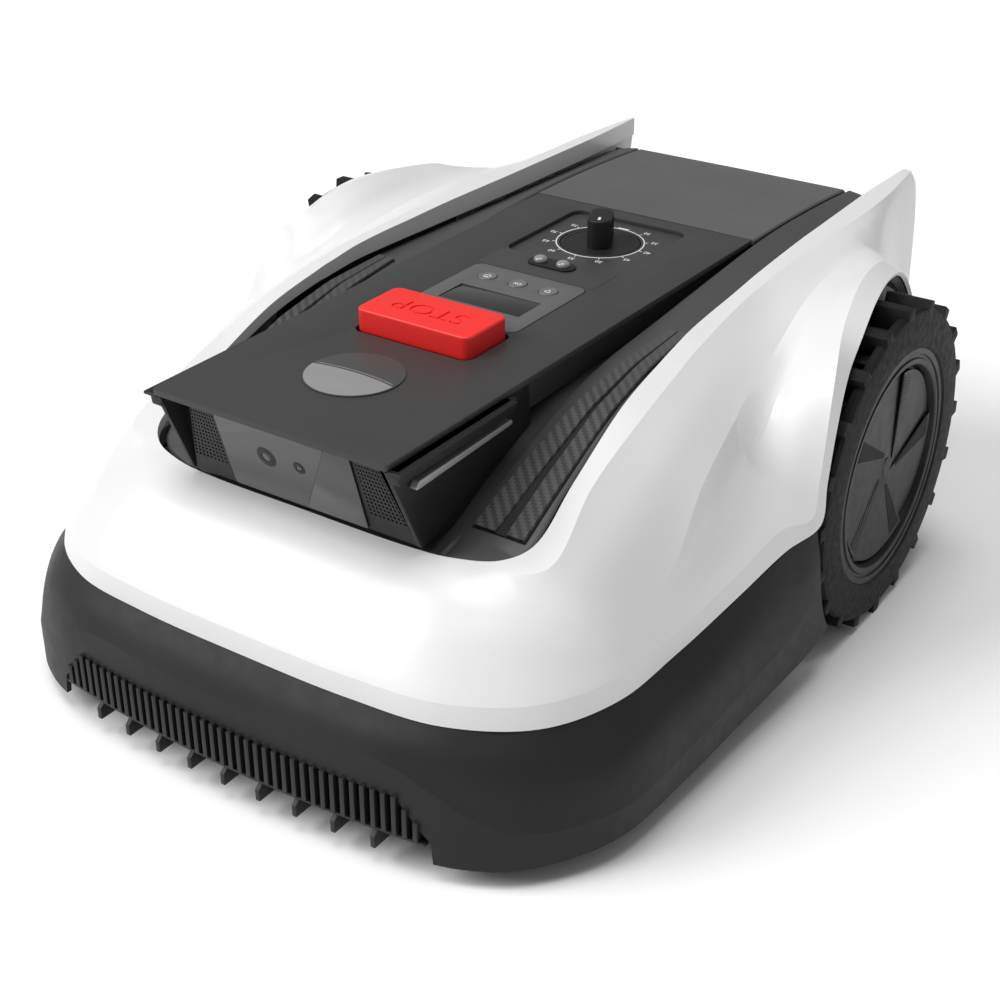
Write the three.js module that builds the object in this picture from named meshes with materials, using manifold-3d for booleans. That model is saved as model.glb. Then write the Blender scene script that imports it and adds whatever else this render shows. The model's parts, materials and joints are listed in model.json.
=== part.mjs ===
// Robotic lawn mower, in millimetres, +Z up, front towards -Y, standing on the ground plane z = 0.
// Every y below is a distance from the front tip; the whole model is shifted once, at the end.
import * as THREE from 'three';
import { mergeVertices } from 'three/addons/utils/BufferGeometryUtils.js';
import Module from 'manifold-3d';

const wasm = await Module();
wasm.setup();

// Driving dimensions
const LENGTH = 635;
const WALL = 3;                    // moulded wall thickness
const GAP = 0.3;                   // clearance between touching pieces
const SIDES = [['left', 1], ['right', -1]];

const WHEEL = { y: 388, z: 106.5, r: 106.5, carcass: 93, inner: 190.5, outer: 220.5, lugs: 20, rim: 77 };
const WELL = { y: 391, z: 102, r: 115.5, wall: 188, liner: 84 };
const CASTER = { x: 112, y: 110, trail: 22, r: 36, width: 24, well: 61, roof: 84 };
const CUTTER = { y: 275, chamber: 115, roof: 88, housing: 40, disc: 80, discTop: 51.5, blades: 3, tip: 105 };
const FLOOR = { bottom: 28, thickness: 4, rim: 84 };
const BOARD = { top: 211.5, thickness: 6, front: 56, rear: 443.5, halfFront: 78.5, halfRear: 84 };
const DECK = { centre: 188, rear: 590 };
const STOP = { half: 38.7, y0: 181.9, y1: 221.3, top: 224.5, travel: 4 };
const PANEL = { half: 41.1, y0: 226, y1: 308.3, top: 211.8, display: [29.3, 248.5, 273.3], buttonY: 291.5 };
const DIAL = { y: 389.7, half: 43.4, y0: 341, y1: 430.4, disc: 26.5, top: 209 };
const VISOR = { half: 80, top: 205.2, topY: 64, bottom: 150.5, bottomY: 80 };
const LENS_Z = 181.5;
const LENSES = [['camera_lens', -15, 5.4], ['light_sensor', 8, 3.4]];
const BUTTONS = [['home_button', -22.7], ['ok_button', 0], ['start_button', 22.7]];
const LED = { x: 8.5, y: 330.5, r: 4.5, bezel: 17 };
const EMBLEM = { y: 129.5, r: 28.7 };
const GRILLE = { half: 127, top: 48, bottom: 24, pitch: 6.33, slot: 3.4 };
const COMB = { teeth: 9, pitch: 25.3, thickness: 3, depth: 20, bottom: 11.4 };
const HATCH = { half: 62, y0: 428, y1: 562 };
const SPINDLE = { r: 5, bottom: 96, arm: 120 };
const CHASSIS = { front: 44, rear: 612, halfFront: 180, halfRear: 172, tail: 116, waist: 262, taper: 512 };
const GEARMOTOR = { motor: [92, 136, 24], gearbox: [135, 167, 33], boss: [166, 180.4, 11] };
const BATTERY = { half: 56, y0: 432, y1: 558, bottom: 36, top: 90 };

// ---------- geometry helpers ----------

const material = (color, roughness, metalness = 0) =>
  new THREE.MeshStandardMaterial({ color, roughness, metalness });

const WHITE = material('#f4f4f4', 0.35);
const CHARCOAL = material('#3a3a3b', 0.6);
const DARK = material('#4c4c4d', 0.55);
const BLACK = material('#1c1c1d', 0.5);
const RUBBER = material('#232323', 0.85);
const STEEL = material('#b9bcc0', 0.35, 1);
const SILVER = material('#8f9193', 0.35, 0.6);

function solid(geometry) {
  const bare = geometry.clone();
  for (const name of ['normal', 'uv']) bare.deleteAttribute(name);
  const merged = mergeVertices(bare, 1e-4);
  return new wasm.Manifold(new wasm.Mesh({
    numProp: 3,
    vertProperties: new Float32Array(merged.attributes.position.array),
    triVerts: new Uint32Array(merged.index.array),
  }));
}

function geometryOf(manifold) {
  const mesh = manifold.getMesh();
  const geometry = new THREE.BufferGeometry();
  geometry.setAttribute('position', new THREE.BufferAttribute(mesh.vertProperties, 3));
  geometry.setIndex(new THREE.BufferAttribute(mesh.triVerts, 1));
  return geometry;
}

const join = (...pieces) => geometryOf(pieces.map(solid).reduce((a, b) => a.add(b)));
const cut = (body, ...tools) => geometryOf(tools.map(solid).reduce((a, b) => a.subtract(b), solid(body)));

function box(x0, x1, y0, y1, z0, z1) {
  return new THREE.BoxGeometry(x1 - x0, y1 - y0, z1 - z0)
    .translate((x0 + x1) / 2, (y0 + y1) / 2, (z0 + z1) / 2);
}

// Upright cylinder
function post(x, y, z0, z1, r, segments = 24) {
  return new THREE.CylinderGeometry(r, r, z1 - z0, segments)
    .rotateX(Math.PI / 2).translate(x, y, (z0 + z1) / 2);
}

// Cylinder along X
function rod(y, z, x0, x1, r, segments = 24) {
  return new THREE.CylinderGeometry(r, r, x1 - x0, segments)
    .rotateZ(Math.PI / 2).translate((x0 + x1) / 2, y, z);
}

// Closed profile of [radius, offset along X] points, turned about the X axis through (y, z)
function turnedAboutX(profile, y, z, segments = 32) {
  const points = profile.map(([r, x]) => new THREE.Vector2(r, x));
  if (THREE.ShapeUtils.area(points) < 0) points.reverse();
  points.push(points[0].clone());
  return new THREE.LatheGeometry(points, segments).rotateZ(-Math.PI / 2).translate(0, y, z);
}

// Outline in plan, raised from z0 to z1
function slab(outline, z0, z1) {
  return new THREE.ExtrudeGeometry(outline, { depth: z1 - z0, bevelEnabled: false, curveSegments: 6 })
    .translate(0, 0, z0);
}

// Side view of [y, z] points, extruded from x0 to x1
function sideProfile(points, x0, x1) {
  const shape = new THREE.Shape(points.map(([y, z]) => new THREE.Vector2(y, z)));
  const turn = new THREE.Matrix4().makeBasis(
    new THREE.Vector3(0, 1, 0), new THREE.Vector3(0, 0, 1), new THREE.Vector3(1, 0, 0));
  return new THREE.ExtrudeGeometry(shape, { depth: x1 - x0, bevelEnabled: false })
    .applyMatrix4(turn).translate(x0, 0, 0);
}

function roundedRect(x0, x1, y0, y1, r) {
  const shape = new THREE.Shape();
  shape.moveTo(x0 + r, y0);
  shape.lineTo(x1 - r, y0).absarc(x1 - r, y0 + r, r, -Math.PI / 2, 0);
  shape.lineTo(x1, y1 - r).absarc(x1 - r, y1 - r, r, 0, Math.PI / 2);
  shape.lineTo(x0 + r, y1).absarc(x0 + r, y1 - r, r, Math.PI / 2, Math.PI);
  shape.lineTo(x0, y0 + r).absarc(x0 + r, y0 + r, r, Math.PI, 1.5 * Math.PI);
  return shape;
}

// A grid of surface points (stations by rows) given a wall thickness, closed along its four edges
function thickSheet(grid, thickness) {
  const stations = grid.length;
  const rows = grid[0].length;
  const along = new THREE.Vector3();
  const across = new THREE.Vector3();
  const inner = grid.map((line, s) => line.map((point, r) => {
    along.subVectors(grid[Math.min(s + 1, stations - 1)][r], grid[Math.max(s - 1, 0)][r]);
    across.subVectors(line[Math.min(r + 1, rows - 1)], line[Math.max(r - 1, 0)]);
    return point.clone().addScaledVector(along.cross(across).normalize(), -thickness);
  }));
  const positions = [...grid.flat(), ...inner.flat()].flatMap((p) => [p.x, p.y, p.z]);
  const index = [];
  const quad = (a, b, c, d) => index.push(a, b, c, a, c, d);
  const out = (s, r) => s * rows + r;
  const inn = (s, r) => (stations + s) * rows + r;
  for (let s = 0; s < stations - 1; s += 1) {
    for (let r = 0; r < rows - 1; r += 1) {
      quad(out(s, r), out(s + 1, r), out(s + 1, r + 1), out(s, r + 1));
      quad(inn(s, r), inn(s, r + 1), inn(s + 1, r + 1), inn(s + 1, r));
    }
    quad(out(s, 0), inn(s, 0), inn(s + 1, 0), out(s + 1, 0));
    quad(out(s, rows - 1), out(s + 1, rows - 1), inn(s + 1, rows - 1), inn(s, rows - 1));
  }
  for (let r = 0; r < rows - 1; r += 1) {
    quad(out(0, r), out(0, r + 1), inn(0, r + 1), inn(0, r));
    quad(out(stations - 1, r), inn(stations - 1, r), inn(stations - 1, r + 1), out(stations - 1, r + 1));
  }
  const geometry = new THREE.BufferGeometry();
  geometry.setAttribute('position', new THREE.Float32BufferAttribute(positions, 3));
  geometry.setIndex(index);
  return geometry;
}

// Stations of [x, y, z] rows on the +X side, smoothed along the body and mirrored to the other side
function mirroredGrid(stations, samples) {
  const rows = stations[0].map((_, r) =>
    new THREE.CatmullRomCurve3(
      stations.map((line) => new THREE.Vector3(...line[r])), false, 'centripetal'));
  const half = [];
  for (let s = 0; s <= samples; s += 1) half.push(rows.map((curve) => curve.getPoint(s / samples)));
  const mirror = half.slice(1).reverse().map((line) => line.map((p) => new THREE.Vector3(-p.x, p.y, p.z)));
  return [...mirror, ...half];
}

const assembly = new THREE.Group();

function add(name, geometry, look) {
  const mesh = new THREE.Mesh(geometry, look);
  mesh.name = name;
  assembly.add(mesh);
}

// ---------- outer shell ----------

// Rows run from the lower edge, over the lip, the flared flank and the crest of the shoulder,
// to the crease, the inner edge of the fin and the flange inside the opening.
const SHELL_STATIONS = [
  [[0, 21, 87], [0, 22, 100], [0, 31, 112], [0, 41, 124], [0, 51, 133],
    [0, 61, 140.5], [0, 71, 145.5], [0, 82, 148], [0, 82.5, 143]],
  [[75, 22.5, 87], [75, 23.5, 100], [74, 32.5, 112], [73.5, 42.5, 124], [73, 52, 133],
    [72, 62, 140.5], [71, 72, 145.5], [70, 82.5, 148], [70, 83, 143]],
  [[130, 30, 87], [129, 31.5, 100], [125, 40, 112], [120, 49.5, 124], [115, 58.5, 133],
    [110, 67, 140.5], [104, 76, 146], [98, 85, 149], [97.7, 85.5, 144]],
  [[172, 56, 87], [170, 58, 100], [162, 64, 112], [154, 71, 124], [146, 77, 133],
    [138, 83, 141], [130, 89, 147.5], [122, 94, 151], [121.5, 94.5, 146]],
  [[193, 97, 88], [191, 98.5, 101], [188, 100, 107], [182, 101.5, 118], [173, 102.5, 131],
    [161, 102, 143], [148.5, 100, 152.5], [133, 108, 156], [132.5, 108.5, 151]],
  [[199, 150, 91], [198, 150, 104], [193, 151, 113], [188.5, 151, 121], [186, 151, 127],
    [167, 150, 157], [143.8, 148, 176.5], [131, 150, 174.5], [130.6, 150, 168]],
  [[206.5, 205, 101], [204, 205, 113], [194, 207, 124], [183, 209, 142], [179.5, 207, 164],
    [161, 206, 182], [141.5, 205, 195], [128, 205, 197.5], [127.7, 205, 190]],
  [[214, 248, 112], [210, 250, 124], [197, 254, 138], [177, 258, 158], [172, 256, 180],
    [156, 253, 194], [138.8, 250, 205], [126, 250, 207], [125.7, 250, 199]],
  [[221, 283, 123], [219, 288, 145], [209, 296, 166], [178, 302, 174], [168, 290, 190],
    [151, 292, 202], [135.8, 290, 211], [124, 290, 213], [123.8, 290, 203]],
  [[221.5, 335, 123], [220, 338, 170], [208, 342, 209.5], [186, 342, 208.5], [163, 337, 199.5],
    [146, 338, 207], [132, 340, 214.5], [121.8, 337, 214.5], [121.6, 337, 203]],
  [[217, 400, 123], [212, 400, 175], [200, 392, 221], [186, 393, 220.5], [157, 398, 208.5],
    [141, 400, 212.5], [128, 400, 216], [118, 400, 216.3], [117.8, 400, 203]],
  [[203, 458, 120], [198, 459, 170], [186, 460, 211], [171, 458, 210], [155, 457, 209.5],
    [141, 455, 213], [127.5, 455, 215.3], [115.5, 455, 216.4], [115.3, 455, 203]],
  [[170, 515, 112], [166, 515, 155], [160, 513, 185], [153, 511, 197], [145, 510, 205],
    [136, 510, 210.5], [127.5, 510, 214.3], [114, 508, 216.4], [113.8, 508, 203]],
  [[142, 575, 105], [139, 575, 150], [136, 573, 180], [133.5, 572, 193], [131, 571, 202],
    [128.5, 570, 209], [125.5, 570, 214.5], [112.5, 566, 216.4], [112.3, 566, 203]],
  [[126, 633, 100], [125, 634, 145], [124, 635, 178], [123, 635, 190], [122, 635, 198],
    [120.5, 634.5, 206], [118.5, 629, 215], [113.5, 627, 216.4], [113.3, 627, 203]],
];

const wellCutter = (side, r, wall) => rod(WELL.y, WELL.z, wall, 260, r, 48).scale(side, 1, 1);

function upperShell() {
  const sheet = thickSheet(mirroredGrid(SHELL_STATIONS, 22), WALL);
  return cut(sheet, wellCutter(1, WELL.r, WELL.wall), mirrored(wellCutter(1, WELL.r, WELL.wall)));
}

function mirrored(geometry) {
  const copy = geometry.index ? geometry.clone().toNonIndexed() : geometry.clone();
  const p = copy.attributes.position;
  for (let i = 0; i < p.count; i += 3) {
    const [a, b, c] = [0, 1, 2].map((k) => new THREE.Vector3().fromBufferAttribute(p, i + k));
    [a, c, b].forEach((v, k) => p.setXYZ(i + k, -v.x, v.y, v.z));
  }
  for (const name of ['normal', 'uv']) copy.deleteAttribute(name);
  return mergeVertices(copy, 1e-4);
}

// ---------- front bumper ----------

// Rows run from the lower edge to the upper edge, which lies just under the shell.
const BUMPER_STATIONS = [
  [[0, 0.8, 12], [0, 1.5, 40], [0, 6, 64], [0, 21.5, 86]],
  [[75, 3.2, 12], [75, 3.8, 40], [75, 8, 64], [75, 23, 86]],
  [[128, 9.6, 12], [129, 10.5, 40], [129.5, 15, 64], [130, 30.5, 86]],
  [[176, 32.5, 13], [178, 34, 40], [177, 40, 64], [172, 56.5, 86]],
  [[206, 77, 15.5], [209, 79, 42], [206, 83, 66], [193, 97.5, 87]],
  [[213.5, 140, 18], [216, 141, 44], [214, 144, 70], [199, 150, 90]],
  [[217, 200, 22], [220, 201, 48], [218.5, 203, 76], [206.5, 205, 100]],
  [[220.5, 245, 26.5], [223, 246, 52], [222, 247, 83], [214, 248, 111]],
  [[222.5, 283, 30.5], [224.5, 283, 57], [224, 283, 90], [221, 283, 122]],
];

const frontFace = (x) => 0.00051 * x * x;

function bumperSkirt() {
  const sheet = thickSheet(mirroredGrid(BUMPER_STATIONS, 16), 4);
  const rear = rod(WELL.y, WELL.z, 150, 260, WELL.r + 3, 48);
  const window = box(-GRILLE.half - 1, GRILLE.half + 1, -10, 30, 0, GRILLE.top + 0.5);
  return cut(sheet, rear, mirrored(rear), window);
}

// The grille and the comb follow the bow of the bumper, as thin plates on a curved bar
function curvedBar(y0, depth, z0, z1) {
  const steps = 12;
  const points = [];
  for (let i = 0; i <= steps; i += 1) {
    const x = GRILLE.half * ((2 * i) / steps - 1);
    points.push(new THREE.Vector2(x, y0 + frontFace(x)));
  }
  const back = points.map((p) => new THREE.Vector2(p.x, p.y + depth)).reverse();
  const shape = new THREE.Shape([...points, ...back]);
  return slab(shape, z0, z1);
}

function frontGrille() {
  const slots = [];
  const count = Math.floor((2 * GRILLE.half - 6) / GRILLE.pitch);
  for (let k = 0; k < count; k += 1) {
    const x = (k - (count - 1) / 2) * GRILLE.pitch;
    const y = frontFace(x);
    slots.push(box(x - GRILLE.slot / 2, x + GRILLE.slot / 2, y, y + 9, GRILLE.bottom + 3, GRILLE.top - 3));
  }
  return cut(curvedBar(2.2, 3, GRILLE.bottom, GRILLE.top), ...slots);
}

function frontComb() {
  const bar = curvedBar(5.6, 4, GRILLE.bottom, GRILLE.top - 14);
  const teeth = [];
  for (let k = 0; k < COMB.teeth; k += 1) {
    const x = (k - (COMB.teeth - 1) / 2) * COMB.pitch;
    const y = frontFace(x);
    const tooth = [[y + 5.8, GRILLE.bottom - 0.5], [y, COMB.bottom + 7], [y, COMB.bottom],
      [y + COMB.depth, COMB.bottom], [y + COMB.depth, COMB.bottom + 12], [y + 9, GRILLE.bottom + 4],
      [y + 5.8, GRILLE.bottom + 4]];
    teeth.push(sideProfile(tooth, x - COMB.thickness / 2, x + COMB.thickness / 2));
  }
  return join(bar, ...teeth);
}

// ---------- chassis ----------

function chassisOutline(inset) {
  const [front, rear] = [CHASSIS.front + inset, CHASSIS.rear - inset];
  const [halfFront, halfRear] = [CHASSIS.halfFront - inset, CHASSIS.halfRear - inset];
  const [waist, taper] = [CHASSIS.waist - inset, CHASSIS.taper - inset / 2];
  const tail = CHASSIS.tail - inset;
  const [cornerX, cornerY] = [CHASSIS.tail, 112];
  const [rx, ry] = [halfFront - cornerX, cornerY - front];
  const shoulder = 590 - inset / 2;
  const shape = new THREE.Shape();
  shape.moveTo(-cornerX, front);
  shape.lineTo(cornerX, front).absellipse(cornerX, cornerY, rx, ry, -Math.PI / 2, 0);
  shape.lineTo(halfFront, waist).lineTo(halfRear, waist + 8).lineTo(halfRear, taper);
  shape.lineTo(tail, shoulder).lineTo(tail, rear).lineTo(-tail, rear).lineTo(-tail, shoulder);
  shape.lineTo(-halfRear, taper).lineTo(-halfRear, waist + 8).lineTo(-halfFront, waist);
  shape.lineTo(-halfFront, cornerY).absellipse(-cornerX, cornerY, rx, ry, Math.PI, 1.5 * Math.PI);
  return shape;
}

function chassisTray() {
  const { bottom, thickness, rim } = FLOOR;
  const floorTop = bottom + thickness;
  let tray = solid(slab(chassisOutline(0), bottom, rim))
    .subtract(solid(slab(chassisOutline(thickness), floorTop, rim + 1)));
  const domes = [post(0, CUTTER.y, bottom, CUTTER.roof + 4, CUTTER.chamber + 4, 40)];
  const hollows = [
    post(0, CUTTER.y, bottom - 1, CUTTER.roof, CUTTER.chamber, 40),
    post(0, CUTTER.y, 0, CUTTER.roof + 9, CUTTER.housing + 4, 32),
    box(-HATCH.half, HATCH.half, HATCH.y0, HATCH.y1, bottom - 1, floorTop + 1),
  ];
  for (const [, side] of SIDES) {
    const x = side * CASTER.x;
    domes.push(post(x, CASTER.y, bottom, CASTER.roof + 4, CASTER.well + 4, 28));
    hollows.push(post(x, CASTER.y, bottom - 1, CASTER.roof, CASTER.well, 28));
    hollows.push(post(x, CASTER.y, 0, CASTER.roof + 9, 6.4, 16));
  }
  for (const dome of domes) tray = tray.add(solid(dome));
  for (const hollow of hollows) tray = tray.subtract(solid(hollow));
  return geometryOf(tray);
}

// A dished plate behind each drive wheel, with the hole that the drive shaft passes through
function wheelArchLiner() {
  const { y, z } = WELL;
  const dish = rod(y, z, 178, 187, WELL.liner, 40);
  const hollow = rod(y, z, 181, 190, WELL.liner - WALL, 40);
  return cut(dish, hollow, rod(WHEEL.y, WHEEL.z, 170, 190, 14), box(170, 190, 200, 620, -50, 36));
}

// ---------- deck, console and visor ----------

// Half width and height of the deck's outer strip and height of its centre, along the body
const DECK_STATIONS = [
  [89, 96, 145, 144.5], [96, 116, 147, 146], [109, 128, 151, 149], [150, 126.5, 169, 166],
  [205, 123.5, 189, 184], [250, 121.5, 198, DECK.centre], [300, 119, 201, DECK.centre],
  [400, 113.5, 202, DECK.centre], [510, 109.5, 202, DECK.centre], [DECK.rear, 107.5, 202, DECK.centre],
];
const CHANNEL = 88;                // half width of the deck's sunken centre

function topDeck() {
  const grid = DECK_STATIONS.map(([y, half, edge, centre]) => [
    [half, edge], [CHANNEL + 2, edge], [CHANNEL, centre],
    [-CHANNEL, centre], [-CHANNEL - 2, edge], [-half, edge],
  ].map(([x, z]) => new THREE.Vector3(x, y, z)));
  return cut(thickSheet(grid, WALL), post(0, DIAL.y, DECK.centre - 10, DECK.centre + 5, SPINDLE.r + 2, 16));
}

function deckEdge(y) {
  const next = Math.max(1, DECK_STATIONS.findIndex(([station]) => station >= y));
  const [y0, half0, edge0] = DECK_STATIONS[next - 1];
  const [y1, half1, edge1] = DECK_STATIONS[next];
  const t = (y - y0) / (y1 - y0);
  return { half: half0 + t * (half1 - half0), edge: edge0 + t * (edge1 - edge0) };
}

// Twill-patterned strips lying on the deck's side channels
function carbonInsert() {
  const grid = [112, 150, 205, 250, 300].map((y) => {
    const { half, edge } = deckEdge(y);
    const inner = CHANNEL + 4 + (y - 112) * 0.06;
    return [[half - 3, edge + 2.6], [inner, edge + 2.6]].map(([x, z]) => new THREE.Vector3(x, y, z));
  });
  return thickSheet(grid, 2);
}

function boardOutline() {
  const corner = 3;
  const { front, rear, halfFront, halfRear } = BOARD;
  return new THREE.Shape([
    [-halfFront + corner, front], [halfFront - corner, front], [halfFront, front + corner], [halfRear, rear],
    [-halfRear, rear], [-halfFront, front + corner]].map(([x, y]) => new THREE.Vector2(x, y)));
}

function consoleBoard() {
  const bottom = BOARD.top - BOARD.thickness;
  const ribs = SIDES.map(([, side]) =>
    box(side > 0 ? 74 : -77, side > 0 ? 77 : -74, 215, BOARD.rear, DECK.centre + GAP, BOARD.top - 1));
  const plate = join(slab(boardOutline(), bottom, BOARD.top), ...ribs);
  const hole = (shape) => slab(shape, bottom - 5, BOARD.top + 5);
  return cut(plate,
    hole(roundedRect(-STOP.half - 1.5, STOP.half + 1.5, STOP.y0 - 1.5, STOP.y1 + 1.5, 6)),
    hole(roundedRect(-PANEL.half - GAP, PANEL.half + GAP, PANEL.y0 - GAP, PANEL.y1 + GAP, 6)),
    hole(roundedRect(-DIAL.half - GAP, DIAL.half + GAP, DIAL.y0 - GAP, DIAL.y1 + GAP, 8)));
}

function rearDeckCover() {
  const top = BOARD.top;
  const y0 = BOARD.rear + 0.8;
  const profile = [[y0, top - 4], [y0, top], [520, top - 0.7], [DECK.rear - 3, top - 6],
    [DECK.rear - 3, DECK.centre + GAP], [DECK.rear - 6, DECK.centre + GAP], [DECK.rear - 6, top - 10],
    [520, top - 5]];
  return sideProfile(profile, -BOARD.halfRear - 1.5, BOARD.halfRear + 1.5);
}

// y of the visor's leaning front face at height z
const visorFace = (z) =>
  VISOR.topY + ((VISOR.bottomY - VISOR.topY) * (VISOR.top - z)) / (VISOR.top - VISOR.bottom);

function visorHousing() {
  const { top, bottom, topY, bottomY, half } = VISOR;
  const profile = [[topY, top], [bottomY, bottom], [109, bottom], [150, 167], [188, 179], [188, top]];
  const [high, low] = [top - 6, bottom + 3];
  const pocket = [[topY - 8, high], [topY - 8, low], [visorFace(low) + 3, low], [visorFace(high) + 3, high]];
  const lensBores = LENSES.map(([, x, r]) =>
    box(x - r - 0.6, x + r + 0.6, topY, topY + 26, LENS_Z - r - 0.6, LENS_Z + r + 0.6));
  const grillePocket = sideProfile(pocket, 52, half - 4);
  const trimRail = box(half - 1, half + 1.2, 70, 164, 194, top);
  return cut(join(sideProfile(profile, -half, half), trimRail, mirrored(trimRail)),
    sideProfile(pocket, -46.8, 46.8), ...lensBores, grillePocket, mirrored(grillePocket));
}

// A plate lying in one of the pockets of the leaning visor face
function visorPlate(x0, x1, proud, depth) {
  const top = VISOR.top - 6.6;
  const bottom = VISOR.bottom + 3.8;
  return sideProfile([
    [visorFace(top) - proud, top], [visorFace(bottom) - proud, bottom],
    [visorFace(bottom) - proud + depth, bottom], [visorFace(top) - proud + depth, top]], x0, x1);
}

function lens(x, r) {
  return new THREE.CylinderGeometry(r, r, 12, 20).translate(x, visorFace(LENS_Z) + 11, LENS_Z);
}

function rearPanel() {
  const y = DECK.rear + 6;
  return box(-112, 112, y, y + 3, FLOOR.rim + GAP, 200);
}

// ---------- controls ----------

// The cap stands clear of the visor by its own travel
function stopButton() {
  const bottom = VISOR.top + GAP + STOP.travel;
  const cap = slab(roundedRect(-STOP.half, STOP.half, STOP.y0, STOP.y1, 5), bottom, STOP.top);
  return join(cap, post(0, (STOP.y0 + STOP.y1) / 2, 194, bottom + 1, 8, 24));
}

function controlPanel() {
  const plate = slab(roundedRect(-PANEL.half, PANEL.half, PANEL.y0, PANEL.y1, 6), 207, PANEL.top);
  const [half, y0, y1] = PANEL.display;
  const holes = BUTTONS.map(([, x]) => post(x, PANEL.buttonY, 200, 220, 6.4, 24));
  return cut(plate, box(-half - GAP, half + GAP, y0 - GAP, y1 + GAP, 200, 220), ...holes);
}

const panelButton = (x) => post(x, PANEL.buttonY, 206, PANEL.top + 0.6, 6, 24);

function ledDome() {
  const { x, y, r } = LED;
  const points = [[0, 0], [r, 0]];
  for (let k = 1; k <= 4; k += 1) {
    const a = (k * Math.PI) / 8;
    points.push([r * Math.cos(a), 1 + 2.4 * Math.sin(a)]);
  }
  points[points.length - 1][0] = 0;
  return new THREE.LatheGeometry(points.map(([u, v]) => new THREE.Vector2(u, v)), 16)
    .rotateX(Math.PI / 2).translate(x, y, BOARD.top + 1.8);
}

function dialPlate() {
  const plate = slab(roundedRect(-DIAL.half, DIAL.half, DIAL.y0, DIAL.y1, 8), 205.8, DIAL.top);
  return cut(plate, post(0, DIAL.y, 200, 220, DIAL.disc + 0.6, 36));
}

// The grip stands on a flush disc; its index end points between two height marks
function heightKnob() {
  const disc = post(0, 0, 206, DIAL.top, DIAL.disc, 36);
  const grip = slab(roundedRect(-6.5, 6.5, -13, 13, 5.5), DIAL.top - 1, 228);
  return join(disc, grip).rotateZ(THREE.MathUtils.degToRad(24)).translate(0, DIAL.y, 0);
}

// ---------- drive wheels ----------

function tyre() {
  const { inner, outer, carcass, rim, lugs, r } = WHEEL;
  const ring = [[rim, inner], [rim, outer - 1], [rim + 3, outer], [carcass - 4, outer], [carcass, outer - 3],
    [carcass, inner + 2], [carcass - 2, inner]];
  let body = solid(turnedAboutX(ring, 0, 0, 40));
  for (let k = 0; k < lugs; k += 1) {
    const lug = sideProfile([[-6, carcass - 2], [6, carcass - 2], [4, r], [-4, r]], inner + 0.5, outer);
    body = body.add(solid(lug.rotateX((k * 2 * Math.PI) / lugs)));
  }
  return geometryOf(body).translate(0, WHEEL.y, WHEEL.z);
}

function rim() {
  const { inner, outer, rim: edge } = WHEEL;
  const profile = [
    [8.3, inner + 4], [8.3, outer - 8], [64, outer - 8], [66, outer - 1], [edge - GAP, outer - 1],
    [edge - GAP, inner + 1], [edge - 4, inner + 1], [edge - 4, inner + 14], [24, inner + 14], [20, inner + 4],
  ];
  return turnedAboutX(profile, WHEEL.y, WHEEL.z, 32);
}

function hubCover() {
  const { outer } = WHEEL;
  const profile = [[0, outer - 7.6], [63, outer - 7.6], [63, outer - 5.4], [12, outer - 3], [0, outer - 3]];
  const points = profile.map(([r, x]) => new THREE.Vector2(r, x));
  return new THREE.LatheGeometry(points, 32).rotateZ(-Math.PI / 2).translate(0, WHEEL.y, WHEEL.z);
}

const driveAxle = () => rod(WHEEL.y, WHEEL.z, 181, WHEEL.outer - 8.6, 8, 24);

function driveGearmotor() {
  const stages = [GEARMOTOR.motor, GEARMOTOR.gearbox, GEARMOTOR.boss];
  return join(...stages.map(([x0, x1, r]) => rod(WHEEL.y, WHEEL.z, x0, x1, r)));
}

// ---------- casters ----------

function casterFork() {
  const { trail, r, width, roof } = CASTER;
  const leg = width / 2 + 1.5;
  const crown = box(-leg - 4, leg + 4, -12, trail + 10, r * 2 + 2.5, roof - 2);
  const pieces = [crown, post(0, 0, roof - 4, roof + 14, 6, 16), post(0, 0, roof + 5, roof + 8, 10, 16)];
  for (const side of [1, -1]) {
    pieces.push(box(side * leg - (side < 0 ? 4 : 0), side * leg + (side > 0 ? 4 : 0),
      trail - 10, trail + 10, r - 9, r * 2 + 3));
  }
  return cut(join(...pieces), rod(trail, r, -leg - 6, leg + 6, 4.3, 16));
}

function casterWheel() {
  const { r, width } = CASTER;
  const half = width / 2;
  const profile = [[4.4, -half], [r - 5, -half], [r, -half + 5], [r, half - 5], [r - 5, half], [4.4, half]];
  return turnedAboutX(profile, CASTER.trail, r, 36);
}

const casterAxle = () => rod(CASTER.trail, CASTER.r, -CASTER.width / 2 - 6, CASTER.width / 2 + 6, 4, 16);

// ---------- cutting unit ----------

function cutterHousing() {
  const low = CUTTER.discTop + 5.5;
  const body = post(0, CUTTER.y, low, 134, CUTTER.housing, 40);
  const arm = box(-12, 12, CUTTER.y + 30, DIAL.y + 4, SPINDLE.arm, SPINDLE.arm + 8);
  const nut = post(0, DIAL.y, SPINDLE.arm - 4, SPINDLE.arm + 12, 12, 24);
  return cut(join(body, arm, nut), post(0, DIAL.y, 90, 220, SPINDLE.r + 0.4, 24),
    post(0, CUTTER.y, 40, low + 16, 4.4, 20));
}

const heightSpindle = () => post(0, DIAL.y, SPINDLE.bottom, 205.6, SPINDLE.r, 20);

const bladeAngle = (k) => (k * 2 * Math.PI) / CUTTER.blades - Math.PI / 2;

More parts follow.
